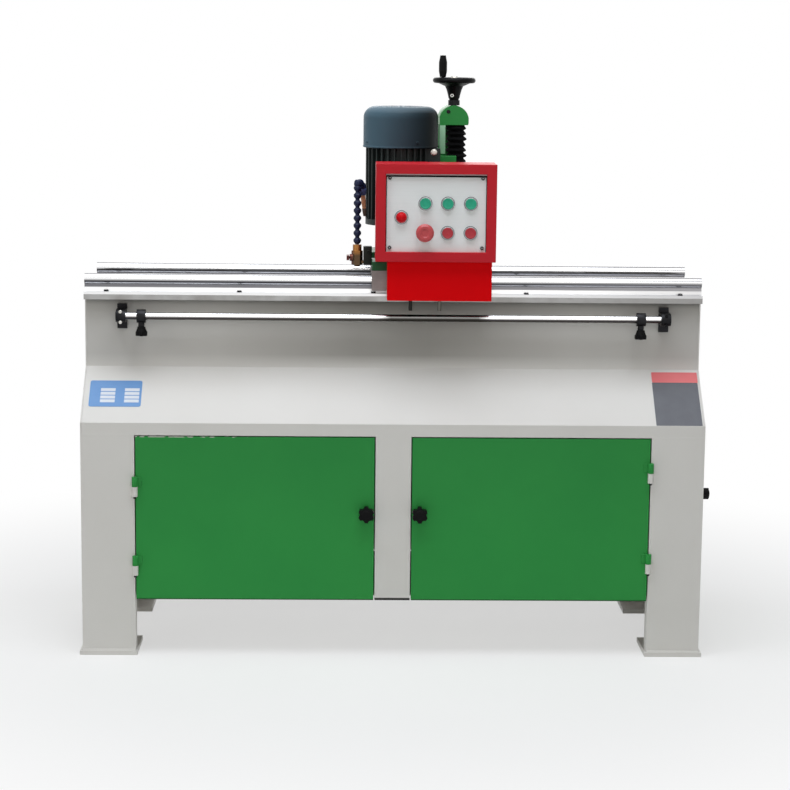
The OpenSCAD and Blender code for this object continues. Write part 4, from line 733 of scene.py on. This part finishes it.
# Painted light: the nozzle socket is a lighter blue than the chain, standing in for the light on it.
painted_light_blue = enamel("blue_acetal_painted_light", "#5A6A98", "#46557E", 0.45, 0.2)
piece("nozzle_socket", socket, "hose", painted_light_blue)
dress(enamel("moulded_orange_acetal", "#EDB48C", "#D2976D", 0.5, 0.2), "hose_nozzle")
tip = bmesh.new()
jet = [(2.6, 51), (4.7, 51), (4.8, 54), (3.9, 66), (3.4, 69), (2.6, 69), (2.6, 51)]
turned(tip, last, heading, jet, sides=24)
# Painted shade: the nozzle's tip is dark brown, standing in for the shade that falls on it.
tip_painted_shade = enamel("brown_acetal_painted_shade", "#6F6054", "#5A4C42", 0.5, 0.2)
piece("nozzle_tip", tip, "hose", tip_painted_shade)

# Control box: 2 mm sheet folded to a box with a raised rim and a screwed back, and the apron that hangs below
# it to cover the front pillow blocks. Sprayed red enamel; the apron's brighter red is painted light.
red = enamel("sprayed_red_enamel", "#CE2833", "#BE1F2A", 0.4, 0.16, primer="#8F5A58")
dress(red, "control_box", ease=1.2)
# Painted light: the apron gets a brighter red than the box, for the stronger light on it.
apron_red_painted_light = enamel("sprayed_red_enamel_painted_light", "#F2060F", "#E4050D", 0.45, 0.05)
dress(apron_red_painted_light, "apron", ease=1.0)
cover = bmesh.new()
back_face = -120.4
slab(cover, (-36, -122.6, 903), (216, back_face, 1104), 0.8)
back_screw = [(0, 0), (4.0, 0), (3.9, 1.2), (2.8, 2.2), (1.7, 2.3), (1.5, 2.3, 4), (1.2, 1.2, 4), (0, 1.2)]
for x in (-28, 90, 208):
    for z in (911, 1096):
        turned(cover, (x, back_face, z), (0, 1, 0), back_screw, sides=20)
piece("box_back", cover, "carriage", red)

# Control panel: a 3 mm aluminium plate in pale lacquer, set back in the rim and held by four black screws;
# its words are left off. A dark rubber strip along its top and sides is painted shadow, for the shade of the
# recess.
panel_x, panel_face, panel_z = 90, -212, 1003.5
panel, tree, place = bare("lacquered_panel_aluminium")
# Pale lacquer over brushed aluminium: even and cool, with level brush lines, drawn 1.2 mm apart to show.
lines = add(tree, "Mapping", {"Vector": place, "Scale": (1 / 60, 1, 1)})
brush = add(tree, "TexNoise", {"Vector": lines, "Scale": 1000 / 1.2, "Detail": 2.0})
tone = add(tree, "MixRGB", {"Fac": brush, "Color1": linear("#F8FAF9"), "Color2": linear("#EFF2F1")})
dull = add(tree, "MapRange", {"Value": brush, **NOISE_ENDS, "To Min": 0.3, "To Max": 0.46})
skin = add(tree, "BsdfPrincipled", {"Base Color": tone, "Roughness": dull, "Specular IOR Level": 0.35})
add(tree, "OutputMaterial", {"Surface": skin})
dress(panel, "control_panel")
heads = bmesh.new()
panel_screw = [(0, 0), (4.6, 0), (4.5, 1.4), (3.4, 2.8), (2.0, 3.1), (1.8, 3.1, 4), (1.3, 1.4, 4), (0, 1.4)]
for x in (-103, 103):
    for z in (-77.5, 77.5):
        turned(heads, (panel_x + x, panel_face, panel_z + z), FRONTWARD, panel_screw, sides=20)
piece("panel_screws", heads, "carriage", blacked)
# Painted shadow: the dark strip in the recess along the panel's top and sides.
recess_shadow_strip = bmesh.new()
strip_front_face, strip_back_face, strip_top_edge = -214.5, -211.8, 1086.6
for left, right, foot in ((-22, 202, 1083.2), (-22, -20, 917), (200.6, 202, 917)):
    slab(recess_shadow_strip, (left, strip_front_face, foot), (right, strip_back_face, strip_top_edge), 0.4)
piece("panel_shadow_strip", recess_shadow_strip, "carriage", rubber)

# Push buttons, lamp and emergency stop: moulded caps in chromed bezel rings, the stop a red mushroom on a
# steel stem that presses in and twists to let go.
plated, tree, place = bare("chromed_bezel")
# Chromed ring: bright, with 2 mm haze from cleaning.
haze = add(tree, "TexNoise", {"Vector": place, "Scale": 1000 / 2, "Detail": 3.0})
dull = add(tree, "MapRange", {"Value": haze, **NOISE_ENDS, "To Min": 0.12, "To Max": 0.26})
tone = add(tree, "MixRGB", {"Fac": haze, "Color1": linear("#B6B8BA"), "Color2": linear("#9FA2A5")})
skin = add(tree, "BsdfPrincipled", {"Base Color": tone, "Metallic": 1.0, "Roughness": dull})
add(tree, "OutputMaterial", {"Surface": skin})
dress(plated, "button_bezels", "estop_plunger")


def cap_plastic(name, colour, drift, shine=0.4):
    """Moulded button plastic: glossy and even, with 6 mm clouding in its colour and its gloss."""
    made, tree, place = bare(name)
    cloud = add(tree, "TexNoise", {"Vector": place, "Scale": 1000 / 6, "Detail": 3.0})
    tone = add(tree, "MixRGB", {"Fac": cloud, "Color1": linear(colour), "Color2": linear(drift)})
    dull = add(tree, "MapRange", {"Value": cloud, "To Min": 0.22, "To Max": 0.4})
    skin = add(tree, "BsdfPrincipled", {"Base Color": tone, "Roughness": dull, "Specular IOR Level": shine})
    add(tree, "OutputMaterial", {"Surface": skin})
    return made


green_cap = cap_plastic("moulded_green_plastic", "#22B48D", "#199B78")
red_cap = cap_plastic("moulded_red_plastic", "#C0343F", "#AE2834")
dress(cap_plastic("moulded_stop_red", "#CC4F52", "#BA4448"), "estop_head")
dress(cap_plastic("moulded_lamp_lens", "#E20E1C", "#C00C18", shine=0.12), "signal_lamp")
bezel = [(12.3, 1.2), (12.3, 4.6), (12.8, 5.2), (13.5, 5.1), (14.7, 3.2), (14.7, 0.0), (12.3, 0.0),
         (12.3, 1.2)]
# Painted shade: a dark rubber ring round each bezel stands in for the shade along its edge.
shade_ring_profile = [(14.0, 0.0), (15.4, 0.0), (15.4, 0.8), (14.9, 1.2), (14.0, 1.2), (14.0, 0.0)]
dished = [(0, 4.2), (12.05, 4.2), (12.05, 7.6), (11.4, 8.8), (10.4, 9.2), (9.6, 8.9), (6.0, 8.62), (0, 8.55)]
# Where each control sits, in mm right of the panel's middle and above it.
controls = {"green_button_1": (-24, 21), "green_button_2": (26, 21), "green_button_3": (77, 21),
            "red_button_1": (26, -44), "red_button_2": (77, -44), "estop": (-25, -43), "lamp": (-77, -10)}
rings, painted_shade_rings = bmesh.new(), bmesh.new()
for name, (x, z) in controls.items():
    at = (panel_x + x, panel_face, panel_z + z)
    turned(rings, at, FRONTWARD, bezel, sides=48)
    turned(painted_shade_rings, at, FRONTWARD, shade_ring_profile, sides=48)
    if "button" in name:
        finish, slot = (green_cap, "green_cap") if "green" in name else (red_cap, "red_cap")
        dress(finish, name)
        cap = bmesh.new()
        turned(cap, at, FRONTWARD, dished, sides=48)
        piece(name + "_cap", cap, name, finish)
piece("bezel_rings", rings, "carriage", plated)
piece("bezel_shade_rings_painted", painted_shade_rings, "carriage", rubber)

# Studio: a pale floor that keeps the machine's shadow near it and fades to white further out, soft light from
# above, less of it from the front, the left and the back, and a white surround.


def seen_rays(tree):
    """One for rays from the camera, from gloss and through glass, which see plain white; nought for light."""
    ray = add(tree, "LightPath")
    seen = add(tree, "Math", {0: ray.outputs["Is Camera Ray"], 1: ray.outputs["Is Glossy Ray"]},
               operation="MAXIMUM")
    return add(tree, "Math", {0: seen, 1: ray.outputs["Is Transmission Ray"]}, operation="MAXIMUM")


floor_mesh = bmesh.new()
bmesh.ops.create_circle(floor_mesh, cap_ends=True, segments=96, radius=30)
mesh = bpy.data.meshes.new("studio_floor")
floor_mesh.to_mesh(mesh)
floor_mesh.free()
floor = bpy.data.objects.new("studio_floor", mesh)
bpy.context.scene.collection.objects.link(floor)
pale, tree, place = bare("pale_studio_floor")
# Painted studio floor: matt and almost white, with slow 400 mm clouding.
cloud = add(tree, "TexNoise", {"Vector": place, "Scale": 1000 / 400, "Detail": 3.0})
tone = add(tree, "MixRGB", {"Fac": cloud, "Color1": linear("#F6F6F4"), "Color2": linear("#F0F0EE")})
matt = add(tree, "BsdfPrincipled", {"Base Color": tone, "Roughness": 0.8, "Specular IOR Level": 0.2})
white = add(tree, "Emission", {"Color": (1, 1, 1, 1), "Strength": 1.0})
reach = add(tree, "VectorMath", {0: place}, operation="LENGTH").outputs["Value"]
far = add(tree, "MapRange", {"Value": reach, "From Min": 0.7, "From Max": 1.9, "To Min": 0.55},
          interpolation_type="SMOOTHSTEP")
fade = add(tree, "Math", {0: seen_rays(tree), 1: far}, operation="MULTIPLY")
add(tree, "OutputMaterial", {"Surface": add(tree, "MixShader", {0: fade, 1: matt, 2: white})})
mesh.materials.append(pale)
for name, at, aim, size, power, tint in (
        ("overhead_light", (-0.2, -0.9, 3.6), (0, -0.2, 0.7), (3.0, 2.2), 88, "#F3F8FF"),
        ("front_light", (0.6, -5.6, 2.6), (0, 0, 0.6), (3.0, 2.0), 26, "#FFFBF5"),
        ("left_light", (-3.4, -2.2, 2.0), (0, 0, 0.9), (1.4, 1.8), 12, "#FFFBF5"),
        ("back_light", (0.4, 4.6, 2.4), (0, 0, 0.6), (3.0, 2.0), 30, "#FFFFFF")):
    lamp = bpy.data.lights.new(name, "AREA")
    lamp.shape = "RECTANGLE"
    lamp.size, lamp.size_y = size
    lamp.energy = power
    lamp.color = linear(tint)[:3]
    holder = bpy.data.objects.new(name, lamp)
    holder.location = at
    holder.rotation_euler = (Vector(aim) - Vector(at)).to_track_quat("-Z", "Y").to_euler()
    bpy.context.scene.collection.objects.link(holder)
world = bpy.data.worlds.new("white_surround")
world.use_nodes = True
tree = world.node_tree
tree.nodes.clear()
glow = add(tree, "MapRange", {"Value": seen_rays(tree), "To Min": 0.15, "To Max": 1.0})
sky = add(tree, "Background", {"Color": (1, 1, 1, 1), "Strength": glow})
add(tree, "OutputWorld", {"Surface": sky})
bpy.context.scene.world = world
bpy.context.scene.view_settings.view_transform = "Standard"
